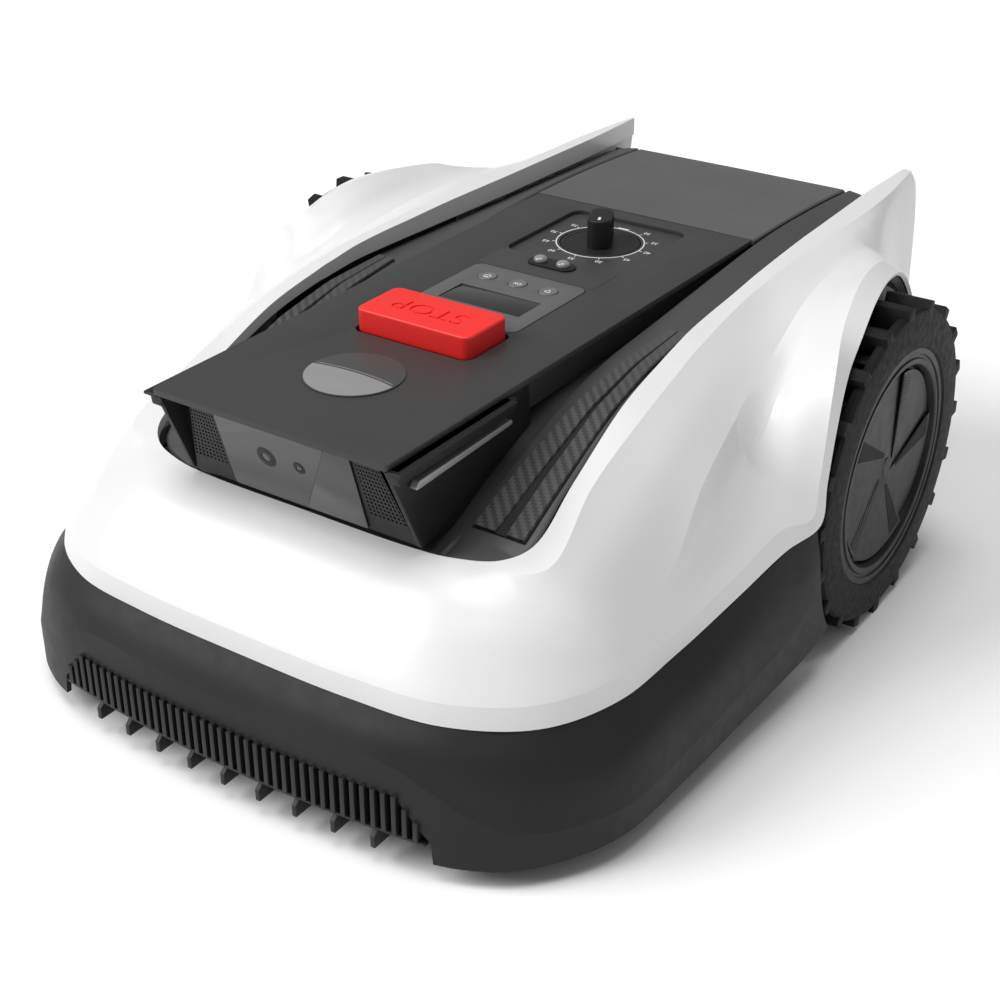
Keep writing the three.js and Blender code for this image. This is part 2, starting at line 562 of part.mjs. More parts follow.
function bladeDisc() {
  const { y, disc, discTop, blades } = CUTTER;
  const pieces = [post(0, y, discTop - 3, discTop, disc, 36), post(0, y, discTop - 1, discTop + 5, 15, 24),
    post(0, y, discTop, discTop + 18, 4, 20), post(0, y, discTop - 8, discTop - 2, 12, 6)];
  for (let k = 0; k < blades; k += 1) {
    const [px, py] = [Math.cos(bladeAngle(k)), Math.sin(bladeAngle(k))].map((u) => u * (disc - 8));
    pieces.push(post(px, y + py, discTop - 6.5, discTop - 2, 2.4, 10));
    pieces.push(post(px, y + py, discTop - 8, discTop - 5.6, 5, 10));
  }
  return join(...pieces);
}

function blade(k) {
  const { y, disc, discTop, tip } = CUTTER;
  const outline = new THREE.Shape([[-8, -8], [tip - disc + 4, -9], [tip - disc + 8, -6], [tip - disc + 8, 6],
    [tip - disc + 4, 9], [-8, 8]].map(([u, v]) => new THREE.Vector2(u, v)));
  const hole = new THREE.Path();
  hole.absarc(0, 0, 2.8, 0, 2 * Math.PI, true);
  outline.holes.push(hole);
  return slab(outline, discTop - 5.2, discTop - 4).translate(disc - 8, 0, 0)
    .rotateZ(bladeAngle(k)).translate(0, y, 0);
}

// ---------- assembly ----------

add('upper_shell', upperShell(), WHITE);
add('chassis_tray', chassisTray(), BLACK);
add('bumper_skirt', bumperSkirt(), CHARCOAL);
add('front_grille', frontGrille(), BLACK);
add('front_comb', frontComb(), BLACK);
add('top_deck', topDeck(), DARK);
add('console_board', consoleBoard(), DARK);
add('rear_deck_cover', rearDeckCover(), DARK);
add('rear_panel', rearPanel(), CHARCOAL);
add('visor_housing', visorHousing(), BLACK);
add('camera_window', visorPlate(-46.4, 46.4, 0, 2.5), material('#26282a', 0.1));
for (const [name, x, r] of LENSES) add(name, lens(x, r), material('#17181b', 0.05));

add('stop_button', stopButton(), material('#f02626', 0.4));
add('control_panel', controlPanel(), material('#666768', 0.5));
const [displayHalf, displayFront, displayRear] = PANEL.display;
add('display_window', box(-displayHalf, displayHalf, displayFront, displayRear, 207, 211.4),
  material('#202124', 0.1));
for (const [name, x] of BUTTONS) add(name, panelButton(x), material('#6d6e70', 0.5));
add('led_bezel', slab(roundedRect(-LED.bezel, LED.bezel, LED.y - 7, LED.y + 7, 6.9),
  BOARD.top + GAP, BOARD.top + 1.5), BLACK);
add('dial_plate', dialPlate(), material('#3a3b3c', 0.5));
add('height_knob', heightKnob(), BLACK);
add('height_spindle', heightSpindle(), STEEL);
add('emblem_disc', post(0, EMBLEM.y, BOARD.top + GAP, BOARD.top + 0.9, EMBLEM.r, 36), SILVER);

add('battery_pack', box(-BATTERY.half, BATTERY.half, BATTERY.y0, BATTERY.y1, BATTERY.bottom, BATTERY.top),
  material('#30343a', 0.6));
add('main_board', join(box(-70, 70, 430, 560, 100, 101.6), box(-60, -30, 440, 470, 101, 112),
  box(10, 50, 500, 530, 101, 110)), material('#1f5a38', 0.6));
add('battery_cover', box(-HATCH.half + 0.5, HATCH.half - 0.5, HATCH.y0 + 0.5, HATCH.y1 - 0.5,
  FLOOR.bottom - 1, FLOOR.bottom + 3.5), BLACK);

add('cutter_housing', cutterHousing(), material('#2c2d2f', 0.55));
add('blade_disc', bladeDisc(), material('#3b3c3e', 0.5));
for (let k = 0; k < CUTTER.blades; k += 1) add(`blade_${k + 1}`, blade(k), STEEL);

const sided = {
  speaker_grille: [() => visorPlate(52.4, VISOR.half - 4.4, 0, 2.5), BLACK],
  side_trim: [() => box(81.6, 84.4, 74, 160, 196, 201), SILVER],
  carbon_insert: [carbonInsert, material('#2e2f31', 0.4)],
  status_led: [ledDome, material('#b8bcc0', 0.25)],
  wheel_arch_liner: [wheelArchLiner, BLACK],
  drive_gearmotor: [driveGearmotor, material('#55585c', 0.45, 0.5)],
  charging_contact: [() => box(30, 44, DECK.rear + 9.3, DECK.rear + 10.8, 112, 122), STEEL],
  tyre: [tyre, RUBBER],
  rim: [rim, BLACK],
  hub_cover: [hubCover, CHARCOAL],
  drive_axle: [driveAxle, STEEL],
  caster_fork: [() => casterFork().translate(CASTER.x, CASTER.y, 0), CHARCOAL],
  caster_wheel: [() => casterWheel().translate(CASTER.x, CASTER.y, 0), RUBBER],
  caster_axle: [() => casterAxle().translate(CASTER.x, CASTER.y, 0), STEEL],
};
for (const [name, [build, look]] of Object.entries(sided)) {
  for (const [word, side] of SIDES) {
    const geometry = build();
    add(`${name}_${word}`, side > 0 ? geometry : mirrored(geometry), look);
  }
}

const group = new THREE.Group();
assembly.position.y = -LENGTH / 2;
group.add(assembly);

export default group;
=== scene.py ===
"""Robotic lawn mower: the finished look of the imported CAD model. Metres, +Z up, front towards -Y."""
import json
from math import atan2, cos, hypot, pi, radians, sin, sqrt, tan

import bmesh
import bpy
from mathutils import Matrix, Vector

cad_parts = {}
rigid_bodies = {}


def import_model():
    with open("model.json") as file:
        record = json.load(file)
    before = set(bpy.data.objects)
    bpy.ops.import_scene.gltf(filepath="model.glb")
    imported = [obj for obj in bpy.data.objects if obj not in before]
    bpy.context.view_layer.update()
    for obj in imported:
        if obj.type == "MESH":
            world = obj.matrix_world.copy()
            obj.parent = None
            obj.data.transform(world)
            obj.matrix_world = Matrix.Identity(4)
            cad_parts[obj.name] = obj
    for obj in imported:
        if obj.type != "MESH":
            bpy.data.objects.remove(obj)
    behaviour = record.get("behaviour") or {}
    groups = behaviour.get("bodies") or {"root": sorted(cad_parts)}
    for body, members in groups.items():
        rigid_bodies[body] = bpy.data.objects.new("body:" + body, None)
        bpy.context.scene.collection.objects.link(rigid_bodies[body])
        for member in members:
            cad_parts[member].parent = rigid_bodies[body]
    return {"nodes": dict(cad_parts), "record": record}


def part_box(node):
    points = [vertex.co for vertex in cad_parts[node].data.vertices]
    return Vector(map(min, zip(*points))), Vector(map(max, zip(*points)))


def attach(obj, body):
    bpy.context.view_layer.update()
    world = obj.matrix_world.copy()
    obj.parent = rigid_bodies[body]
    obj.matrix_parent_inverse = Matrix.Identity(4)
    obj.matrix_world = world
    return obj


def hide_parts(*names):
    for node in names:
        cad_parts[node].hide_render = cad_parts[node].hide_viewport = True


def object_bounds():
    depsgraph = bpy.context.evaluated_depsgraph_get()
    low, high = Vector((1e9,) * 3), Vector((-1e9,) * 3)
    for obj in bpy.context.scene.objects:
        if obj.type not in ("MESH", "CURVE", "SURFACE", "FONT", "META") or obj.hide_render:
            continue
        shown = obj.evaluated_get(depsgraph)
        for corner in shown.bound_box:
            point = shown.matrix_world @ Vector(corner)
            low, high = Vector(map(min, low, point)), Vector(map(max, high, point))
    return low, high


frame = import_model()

CAD_BOX = [list(corner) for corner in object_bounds()]
MM = 0.001
FRONT = CAD_BOX[0][1]
SIDES = (("left", 1), ("right", -1))
BODY_OF = {node: body for body, nodes in frame["record"]["behaviour"]["bodies"].items() for node in nodes}
SLOT_OF = {part["node"]: part["material_slot"] for part in frame["record"]["subparts"]}


def at(x, y, z):
    """A point given in millimetres, with y measured back from the front tip."""
    return Vector((x * MM, FRONT + y * MM, z * MM))


def span(node):
    """A CAD node's box in millimetres: x0, x1, y0, y1, z0, z1, with y measured back from the front tip."""
    low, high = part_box(node)
    return (low.x / MM, high.x / MM, (low.y - FRONT) / MM, (high.y - FRONT) / MM, low.z / MM, high.z / MM)


# ---------- materials ----------

class Nodes:
    """A short way to write a shader's node tree."""

    def __init__(self, name):
        self.material = bpy.data.materials.new(name)
        self.material.use_nodes = True
        self.tree = self.material.node_tree
        self.shader = self.tree.nodes["Principled BSDF"]
        self.position = self.add("ShaderNodeTexCoord").outputs["Object"]

    def add(self, kind, **values):
        node = self.tree.nodes.new(kind)
        for key, value in values.items():
            if hasattr(node, key):
                setattr(node, key, value)
            else:
                node.inputs[key.replace("_", " ")].default_value = value
        return node

    def link(self, output, target):
        self.tree.links.new(output, target)

    def noise(self, size, detail=3.0):
        """Noise whose features are about size millimetres across."""
        node = self.add("ShaderNodeTexNoise", Scale=1 / (size * MM), Detail=detail)
        self.link(self.position, node.inputs["Vector"])
        return node.outputs["Fac"]

    def math(self, operation, a, b=0.0):
        node = self.add("ShaderNodeMath", operation=operation)
        for socket, value in zip(node.inputs, (a, b)):
            if isinstance(value, (int, float)):
                socket.default_value = value
            else:
                self.link(value, socket)
        return node.outputs[0]

    def mix(self, factor, a, b):
        node = self.add("ShaderNodeMix", data_type="RGBA")
        for socket, value in ((node.inputs[0], factor), (node.inputs[6], a), (node.inputs[7], b)):
            if isinstance(value, (int, float, tuple)):
                socket.default_value = value
            else:
                self.link(value, socket)
        return node.outputs[2]

    def remap(self, value, low, high, start=0.3, end=0.7):
        node = self.add("ShaderNodeMapRange")
        for key, number in (("From Min", start), ("From Max", end), ("To Min", low), ("To Max", high)):
            node.inputs[key].default_value = number
        self.link(value, node.inputs["Value"])
        return node.outputs[0]

    def set(self, **values):
        """Sets the shader's inputs, each named with _ for a space."""
        for key, value in values.items():
            self.shader.inputs[key.replace("_", " ")].default_value = value

    def color(self, output):
        self.link(output, self.shader.inputs["Base Color"])

    def roughness(self, output):
        self.link(output, self.shader.inputs["Roughness"])

    def bump(self, height, strength, depth=0.1):
        """Bump from a height from 0 to 1 that stands for depth millimetres."""
        node = self.add("ShaderNodeBump", Strength=strength, Distance=depth * MM)
        self.link(height, node.inputs["Height"])
        self.link(node.outputs["Normal"], self.shader.inputs["Normal"])


def rgb(value, shift=1.0):
    """A linear grey or colour from a number or a triple, made lighter or darker by shift."""
    triple = (value,) * 3 if isinstance(value, (int, float)) else value
    return tuple(channel * shift for channel in triple) + (1.0,)


def plastic(name, color, roughness, grain=0.5, depth=0.05, strength=0.5, mottle=0.06, metallic=0.0,
            coat=0.0, shine=0.5):
    """Moulded plastic: a fine moulded texture, slightly uneven gloss and a trace of uneven colour."""
    nodes = Nodes(name)
    nodes.set(Metallic=metallic, Specular_IOR_Level=shine, Coat_Weight=coat, Coat_Roughness=0.12)
    cloud = nodes.noise(60, 4.0)
    nodes.color(nodes.mix(nodes.remap(cloud, 0.0, 1.0), rgb(color, 1 - mottle), rgb(color, 1 + mottle)))
    patchy = nodes.noise(9, 5.0)
    nodes.roughness(nodes.remap(patchy, roughness - 0.04, roughness + 0.04))
    nodes.bump(nodes.noise(grain, 2.0), strength, depth)
    return nodes.material


def rubber():
    """Tyre rubber: a pebbled surface with a little dry dust held in it."""
    nodes = Nodes("tyre_rubber")
    dust = nodes.remap(nodes.noise(22, 6.0), 0.0, 1.0, 0.5, 0.8)
    nodes.color(nodes.mix(dust, rgb(0.008), rgb((0.015, 0.0145, 0.014))))
    nodes.roughness(nodes.remap(nodes.noise(5, 4.0), 0.56, 0.74))
    nodes.set(Specular_IOR_Level=0.2)
    nodes.bump(nodes.noise(0.8, 3.0), 0.6, 0.15)
    return nodes.material


def brushed(name, color, roughness, direction):
    """Metal with fine scratches along one axis."""
    nodes = Nodes(name)
    nodes.set(Metallic=1.0)
    stretch = nodes.add("ShaderNodeMapping")
    stretch.inputs["Scale"].default_value = [0.04 if axis == direction else 1.0 for axis in range(3)]
    nodes.link(nodes.position, stretch.inputs["Vector"])
    streaks = nodes.add("ShaderNodeTexNoise", Scale=1 / (0.35 * MM), Detail=3.0)
    nodes.link(stretch.outputs["Vector"], streaks.inputs["Vector"])
    nodes.color(nodes.mix(streaks.outputs["Fac"], rgb(color, 0.85), rgb(color, 1.1)))
    nodes.roughness(nodes.remap(streaks.outputs["Fac"], roughness - 0.08, roughness + 0.08))
    nodes.bump(streaks.outputs["Fac"], 0.25, 0.03)
    return nodes.material


def carbon_weave(tow=1.85, fade_start=200, fade_end=310):
    """Twill cloth under lacquer: tows tow millimetres wide that pass over two and under two, printed
    so that the pattern fades out towards the rear."""
    nodes = Nodes("carbon_weave")
    calc = nodes.math
    split = nodes.add("ShaderNodeSeparateXYZ")
    nodes.link(nodes.position, split.inputs[0])
    x, y, _ = split.outputs
    across, along = calc("DIVIDE", x, tow * MM), calc("DIVIDE", y, tow * MM)
    column, row = calc("FLOOR", across), calc("FLOOR", along)
    phase = calc("FLOORED_MODULO", calc("ADD", column, row), 4.0)
    over = calc("LESS_THAN", phase, 1.5)
    crown = calc("SINE", calc("MULTIPLY", calc("FRACT", across), pi))
    bow = calc("SINE", calc("MULTIPLY", calc("FRACT", along), pi))
    height = calc("ADD", calc("MULTIPLY", over, crown), calc("MULTIPLY", calc("SUBTRACT", 1.0, over), bow))
    plain = nodes.remap(y, 0.0, 1.0, FRONT + fade_start * MM, FRONT + fade_end * MM)
    weave = nodes.mix(over, rgb(0.028), rgb(0.066))
    nodes.color(nodes.mix(plain, weave, rgb(0.06)))
    nodes.set(Roughness=0.42, Coat_Weight=0.25, Coat_Roughness=0.2)
    nodes.bump(calc("MULTIPLY", height, calc("SUBTRACT", 1.0, plain)), 0.35, 0.12)
    return nodes.material


def smoked(name, color, roughness, transmission):
    """Polished dark plastic or coated glass, with faint ripples from moulding."""
    nodes = Nodes(name)
    nodes.set(Transmission_Weight=transmission, IOR=1.49, Coat_Weight=0.5, Coat_Roughness=0.03)
    nodes.color(nodes.mix(nodes.noise(30, 3.0), rgb(color, 0.9), rgb(color, 1.1)))
    nodes.roughness(nodes.remap(nodes.noise(4, 3.0), roughness, roughness + 0.05))
    nodes.bump(nodes.noise(18, 2.0), 0.08, 0.05)
    return nodes.material


def circuit_board():
    """Green solder mask with copper tracks showing faintly through it."""
    nodes = Nodes("circuit_board")
    tracks = nodes.add("ShaderNodeTexBrick", Scale=1 / (18 * MM), Mortar_Size=0.04)
    nodes.link(nodes.position, tracks.inputs["Vector"])
    nodes.color(nodes.mix(tracks.outputs["Fac"], rgb((0.015, 0.1, 0.05)), rgb((0.05, 0.19, 0.09))))
    nodes.set(Roughness=0.4)
    nodes.bump(tracks.outputs["Fac"], 0.3, 0.05)
    return nodes.material


WHITE = plastic("white_shell", (0.72, 0.72, 0.725), 0.36, grain=1.4, depth=0.02, strength=0.25,
                mottle=0.008, coat=0.15)
CHARCOAL = plastic("charcoal_plastic", 0.018, 0.5, grain=0.6, depth=0.06, shine=0.2)
DECK = plastic("deck_plastic", 0.058, 0.5)
BOARD = plastic("board_plastic", 0.042, 0.5, shine=0.35)
COVER = plastic("cover_plastic", 0.088, 0.5)
INLAY = plastic("deck_inlay", 0.04, 0.48)
BLACK = plastic("black_plastic", 0.012, 0.46, shine=0.3)
WHEEL_BLACK = plastic("wheel_plastic", 0.009, 0.4, depth=0.06, shine=0.22)
RED = plastic("stop_red", (0.86, 0.022, 0.018), 0.44, grain=0.7, depth=0.04, mottle=0.03)
PANEL = plastic("panel_grey", 0.1, 0.5, depth=0.04)
BUTTON = plastic("button_grey", 0.14, 0.46, grain=0.4, depth=0.03)
PRINT = plastic("printed_white", 0.72, 0.5, grain=0.3, depth=0.01)
SILVER = plastic("trim_silver", 0.42, 0.4, grain=0.35, depth=0.03, metallic=0.55)
DISPLAY = smoked("display_black", 0.012, 0.1, 0.0)
WINDOW = smoked("window_plastic", 0.012, 0.06, 0.0)
MASK = smoked("window_mask", 0.02, 0.12, 0.0)
LENS = smoked("lens_glass", (0.05, 0.05, 0.09), 0.02, 0.3)
LED = smoked("led_lens", 0.36, 0.2, 0.35)
RUBBER = rubber()
STEEL = brushed("steel", 0.55, 0.34, 0)
MOTOR = brushed("motor_metal", 0.3, 0.42, 0)
WEAVE = carbon_weave()
BOARD_GREEN = circuit_board()
BATTERY = plastic("battery_wrap", (0.03, 0.035, 0.045), 0.4, grain=2.0, depth=0.1)


# ---------- meshes ----------

def prism(outline, low, high, axes="xyz"):
    """A closed outline of 2-D points raised from low to high. axes names which way each number goes:
    xyz stands on a plan view, yzx on a side view and xzy on a front view."""
    mesh = bmesh.new()
    order = ["xyz".index(letter) for letter in axes]

    def place(point, level):
        spot = [0.0, 0.0, 0.0]
        for axis, number in zip(order, (*point, level)):
            spot[axis] = number
        return at(*spot)

    floor = [mesh.verts.new(place(point, low)) for point in outline]
    roof = [mesh.verts.new(place(point, high)) for point in outline]
    mesh.faces.new(floor)
    mesh.faces.new(list(reversed(roof)))
    for k in range(len(outline)):
        n = (k + 1) % len(outline)
        mesh.faces.new((floor[k], roof[k], roof[n], floor[n]))
    bmesh.ops.recalc_face_normals(mesh, faces=mesh.faces)
    return mesh


def rounded(corners, radius, steps=5):
    """The outline with each corner rounded to the radius."""
    points = []
    count = len(corners)
    for k, corner in enumerate(corners):
        here = Vector(corner)
        before = (Vector(corners[k - 1]) - here).normalized()
        after = (Vector(corners[(k + 1) % count]) - here).normalized()
        half = before.angle(after) / 2
        centre = here + (before + after).normalized() * radius / sin(half)
        start = (here + before * radius / tan(half) - centre).normalized()
        end = (here + after * radius / tan(half) - centre).normalized()
        for step in range(steps + 1):
            points.append(tuple(centre + start.slerp(end, step / steps) * radius))
    return points


def rectangle(x0, x1, y0, y1, radius=0.0):
    corners = [(x0, y0), (x1, y0), (x1, y1), (x0, y1)]
    return rounded(corners, radius) if radius else corners


def circle(x, y, radius, segments=48):
    turn = 2 * pi / segments
    return [(x + radius * cos(k * turn), y + radius * sin(k * turn)) for k in range(segments)]


def revolve(profile, centre, axis="x", segments=72):
    """A closed profile of (radius, distance along the axis) points in millimetres, turned about the axis."""
    mesh = bmesh.new()
    rings = []
    for k in range(segments):
        angle = 2 * pi * k / segments
        ring = []
        for radius, along in profile:
            c, s = radius * cos(angle), radius * sin(angle)
            offset = (along, c, s) if axis == "x" else (c, s, along)
            ring.append(mesh.verts.new(at(*(centre[i] + offset[i] for i in range(3)))))
        rings.append(ring)
    count = len(profile)
    for k in range(segments):
        one, two = rings[k], rings[(k + 1) % segments]
        for j in range(count):
            n = (j + 1) % count
            mesh.faces.new((one[j], one[n], two[n], two[j]))
    bmesh.ops.remove_doubles(mesh, verts=mesh.verts, dist=1e-7)
    bmesh.ops.recalc_face_normals(mesh, faces=mesh.faces)
    return mesh


def sheet(grid, thickness=0.0):
    """Rows of points in millimetres as a surface, given a wall thickness on its inner side."""
    mesh = bmesh.new()
    verts = [[mesh.verts.new(at(*point)) for point in row] for row in grid]
    for one, two in zip(verts, verts[1:]):
        for a, b, c, d in zip(one, one[1:], two[1:], two):
            mesh.faces.new((a, d, c, b))
    bmesh.ops.recalc_face_normals(mesh, faces=mesh.faces)
    if thickness:
        bmesh.ops.solidify(mesh, geom=mesh.faces, thickness=thickness * MM)
    return mesh


def add_object(name, data):
    made = bpy.data.objects.new(name, data)
    bpy.context.scene.collection.objects.link(made)
    return made


def merged(*meshes):
    """Several meshes as one."""
    whole = bmesh.new()
    for mesh in meshes:
        data = bpy.data.meshes.new("part")
        mesh.to_mesh(data)
        whole.from_mesh(data)
        bpy.data.meshes.remove(data)
    return whole


def turned(mesh, matrix):
    bmesh.ops.transform(mesh, matrix=matrix, verts=mesh.verts)
    return mesh


def mirrored(mesh):
    copy = mesh.copy()
    bmesh.ops.transform(copy, matrix=Matrix.Scale(-1, 4, (1, 0, 0)), verts=copy.verts)
    bmesh.ops.reverse_faces(copy, faces=copy.faces)
    return copy


def on_side(mesh, sign):
    """A mesh made on the +X side, or its mirror image where sign is -1."""
    return mesh if sign > 0 else mirrored(mesh)


def placed(spot, turn):
    """The matrix that turns a mesh about the front tip's point on the ground, then moves it to spot."""
    return Matrix.Translation(at(*spot)) @ turn @ Matrix.Translation(-at(0, 0, 0))


def softened(mesh, width, angle=28, segments=2):
    """Rounds every edge sharper than angle degrees."""
    bmesh.ops.remove_doubles(mesh, verts=mesh.verts, dist=1e-6)
    bmesh.ops.dissolve_limit(mesh, angle_limit=radians(0.6), verts=mesh.verts, edges=mesh.edges)
    sharp = [edge for edge in mesh.edges
             if len(edge.link_faces) == 2 and edge.calc_face_angle() > radians(angle)]
    bmesh.ops.bevel(mesh, geom=sharp, offset=width * MM, segments=segments, profile=0.6,
                    affect="EDGES", clamp_overlap=True)
    return mesh


def data_of(mesh, name="part"):
    data = bpy.data.meshes.new(name)
    mesh.to_mesh(data)
    return data


def carved(mesh, *cutters):
    """The mesh with each cutter taken out of it."""
    body = add_object("carved", data_of(mesh))
    tools = []
    for cutter in cutters:
        tool = add_object("cutter", data_of(cutter))
        step = body.modifiers.new("cut", "BOOLEAN")
        step.operation, step.solver, step.object = "DIFFERENCE", "EXACT", tool
        tools.append(tool)
    bpy.context.view_layer.update()
    result = bmesh.new()
    result.from_object(body, bpy.context.evaluated_depsgraph_get())
    for unneeded in (body, *tools):
        bpy.data.objects.remove(unneeded, do_unlink=True)
    return result


def lettering(text, size, thickness, spot, turn=0.0):
    """Raised letters size millimetres tall, centred on spot and turned by turn degrees about Z."""
    curve = bpy.data.curves.new("letters", "FONT")
    curve.body, curve.size, curve.extrude = text, size * MM, thickness * MM / 2
    curve.align_x, curve.align_y = "CENTER", "CENTER"
    source = add_object("letters", curve)
    bpy.context.view_layer.update()
    data = bpy.data.meshes.new_from_object(source.evaluated_get(bpy.context.evaluated_depsgraph_get()))
    mesh = bmesh.new()
    mesh.from_mesh(data)
    for unneeded, kind in ((source, bpy.data.objects), (curve, bpy.data.curves), (data, bpy.data.meshes)):
        kind.remove(unneeded)
    return turned(mesh, Matrix.Translation(at(*spot)) @ Matrix.Rotation(radians(turn), 4, "Z"))


def piece(name, mesh, look, *nodes, body=None, slot=None, sharp=32):
    """Makes the object, shades it, and hands it to the frame in place of the CAD nodes."""
    data = data_of(mesh, name)
    data.materials.append(look)
    data.shade_smooth()
    data.set_sharp_from_angle(angle=radians(sharp))
    made = add_object(name, data)
    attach(made, body or BODY_OF[nodes[0]])
    if nodes:
        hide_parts(*nodes)


def refine(node, look, width=0.5):
    """A CAD node whose shape is right, with its edges rounded."""
    mesh = bmesh.new()
    mesh.from_mesh(frame["nodes"][node].data)
    piece(node + "_finished", softened(mesh, width), look, node)


# ---------- outer shell ----------

# The lower edge, the lip, the flared flank, the crest, the crease, the fin's inner edge and the flange
SHELL_STATIONS = [
    [(0, 21, 87), (0, 22, 100), (0, 31, 112), (0, 41, 124), (0, 51, 133),
     (0, 61, 140.5), (0, 71, 145.5), (0, 82, 148), (0, 82.5, 143)],
    [(75, 22.5, 87), (75, 23.5, 100), (74, 32.5, 112), (73.5, 42.5, 124), (73, 52, 133),
     (72, 62, 140.5), (71, 72, 145.5), (70, 82.5, 148), (70, 83, 143)],
    [(130, 30, 87), (129, 31.5, 100), (125, 40, 112), (120, 49.5, 124), (115, 58.5, 133),
     (110, 67, 140.5), (104, 76, 146), (98, 85, 149), (97.7, 85.5, 144)],
    [(172, 56, 87), (170, 58, 100), (162, 64, 112), (154, 71, 124), (146, 77, 133),
     (138, 83, 141), (130, 89, 147.5), (122, 94, 151), (121.5, 94.5, 146)],
    [(193, 97, 88), (191, 98.5, 101), (188, 100, 107), (182, 101.5, 118), (173, 102.5, 131),
     (161, 102, 143), (148.5, 100, 152.5), (133, 108, 156), (132.5, 108.5, 151)],
    [(199, 150, 91), (198, 150, 104), (193, 151, 113), (188.5, 151, 121), (186, 151, 127),
     (167, 150, 157), (143.8, 148, 176.5), (131, 150, 174.5), (130.6, 150, 168)],
    [(206.5, 205, 101), (204, 205, 113), (194, 207, 124), (183, 209, 142), (179.5, 207, 164),
     (161, 206, 182), (141.5, 205, 195), (128, 205, 197.5), (127.7, 205, 190)],
    [(214, 248, 112), (210, 250, 124), (197, 254, 138), (177, 258, 158), (172, 256, 180),
     (156, 253, 194), (138.8, 250, 205), (126, 250, 207), (125.7, 250, 199)],
    [(221.5, 276.5, 118), (219, 268, 125), (204, 263, 139), (182, 262, 159), (171.5, 260, 181.3),
     (155.5, 257, 195), (138.3, 255, 206), (125.8, 255, 208), (125.5, 255, 199.4)],
    [(221, 281, 143), (218.5, 275, 145), (203, 271, 157), (183, 270, 167), (170, 269, 184.5),
     (154, 266, 197.2), (137.4, 265, 207.6), (125.2, 265, 209.4), (125, 265, 200.5)],
    [(217, 297, 173), (214, 290.5, 178), (198.5, 288, 180), (181, 289, 181.5), (167.8, 290, 190),
     (151.4, 286, 201), (136, 285, 210.3), (124.2, 285, 212.3), (124, 285, 202.5)],
    [(212, 318, 195), (207, 311, 202), (192.5, 312, 198), (176.5, 315, 192.5), (163.8, 318, 196.6),
     (148, 316, 204.8), (133.5, 315, 213), (122.8, 315, 214), (122.6, 315, 203)],
    [(208, 342, 208), (197.5, 338, 213), (185.5, 339, 208.6), (171.5, 341, 202.8), (160, 342, 201.6),
     (145, 341, 207.6), (131.5, 341, 214.6), (121.5, 341, 214.6), (121.3, 341, 203)],
    [(201, 376, 217.5), (188.5, 374, 222), (177.5, 376, 217.4), (166, 378, 211.4), (155, 378, 208.2),
     (142, 379, 211.8), (129.5, 380, 215.7), (119.3, 380, 215.9), (119.1, 380, 203)],
    [(191, 423, 216), (178.5, 421, 220.5), (171, 422, 217.5), (160, 423, 213), (150.5, 424, 210.8),
     (139, 425, 213.2), (127.8, 425, 215.8), (116.9, 425, 216.3), (116.7, 425, 203)],
    [(186.5, 455, 207), (174.5, 455, 213), (167, 456, 212.6), (158, 456, 211), (149, 456, 210.6),
     (138.5, 455, 213), (127.5, 455, 215.3), (115.5, 455, 216.4), (115.3, 455, 203)],
    [(187, 474, 186), (172, 481, 196), (165, 483, 202), (156.5, 484, 205.6), (147.5, 484, 208),
     (137.5, 483, 212), (127.5, 482, 214.8), (114.8, 481, 216.4), (114.6, 481, 203)],
    [(187, 486, 150), (175, 495, 159), (166, 498, 178), (156, 498, 193), (146.5, 497, 204),
     (136.8, 496, 211), (127.5, 495, 214.5), (114.4, 494, 216.4), (114.2, 494, 203)],
    [(186.5, 489, 112), (176, 501, 122), (167, 507, 152), (157, 507, 182), (146, 506, 202),
     (136.3, 505, 210.4), (127.5, 505, 214.4), (114.1, 504, 216.4), (113.9, 504, 203)],
    [(170, 517, 110), (165.5, 519, 123), (159.5, 520, 152), (152, 519, 182), (144, 518, 201),
     (135.8, 517, 210), (127.4, 516, 214.3), (113.8, 514, 216.4), (113.6, 514, 203)],
    [(142, 575, 105), (140, 575, 120), (136.5, 574, 152), (133.8, 573, 182), (131, 572, 199),
     (128.5, 571, 208.5), (125.5, 570, 214.5), (112.5, 566, 216.4), (112.3, 566, 203)],
    [(126, 633, 100), (125.5, 634, 115), (124.5, 635, 150), (123.4, 635, 180), (122, 635, 196),
     (120.5, 634.5, 206), (118.5, 629, 215), (113.5, 627, 216.4), (113.3, 627, 203)],
]
SHELL_WALL = 2.6
LIP, CREST, CREASE, RIM = 1, 4, 6, 7


def ramp(value, low, high):
    t = min(1.0, max(0.0, (value - low) / (high - low)))
    return t * t * (3 - 2 * t)


def knots(points):
    """The square roots of the spacings, which keep a curve through uneven points from overshooting."""
    return [max(1e-3, (b - a).length) ** 0.5 for a, b in zip(points, points[1:])]


def tangents(points):
    """The slope at each point, per unit of the knot spacing, of a curve through the points."""
    gaps = knots(points)
    slopes = [(points[1] - points[0]) / gaps[0]]
    for k in range(1, len(points) - 1):
        a, b = gaps[k - 1], gaps[k]
        slopes.append((points[k] - points[k - 1]) / a - (points[k + 1] - points[k - 1]) / (a + b)
                      + (points[k + 1] - points[k]) / b)
    slopes.append((points[-1] - points[-2]) / gaps[-1])
    return gaps, slopes


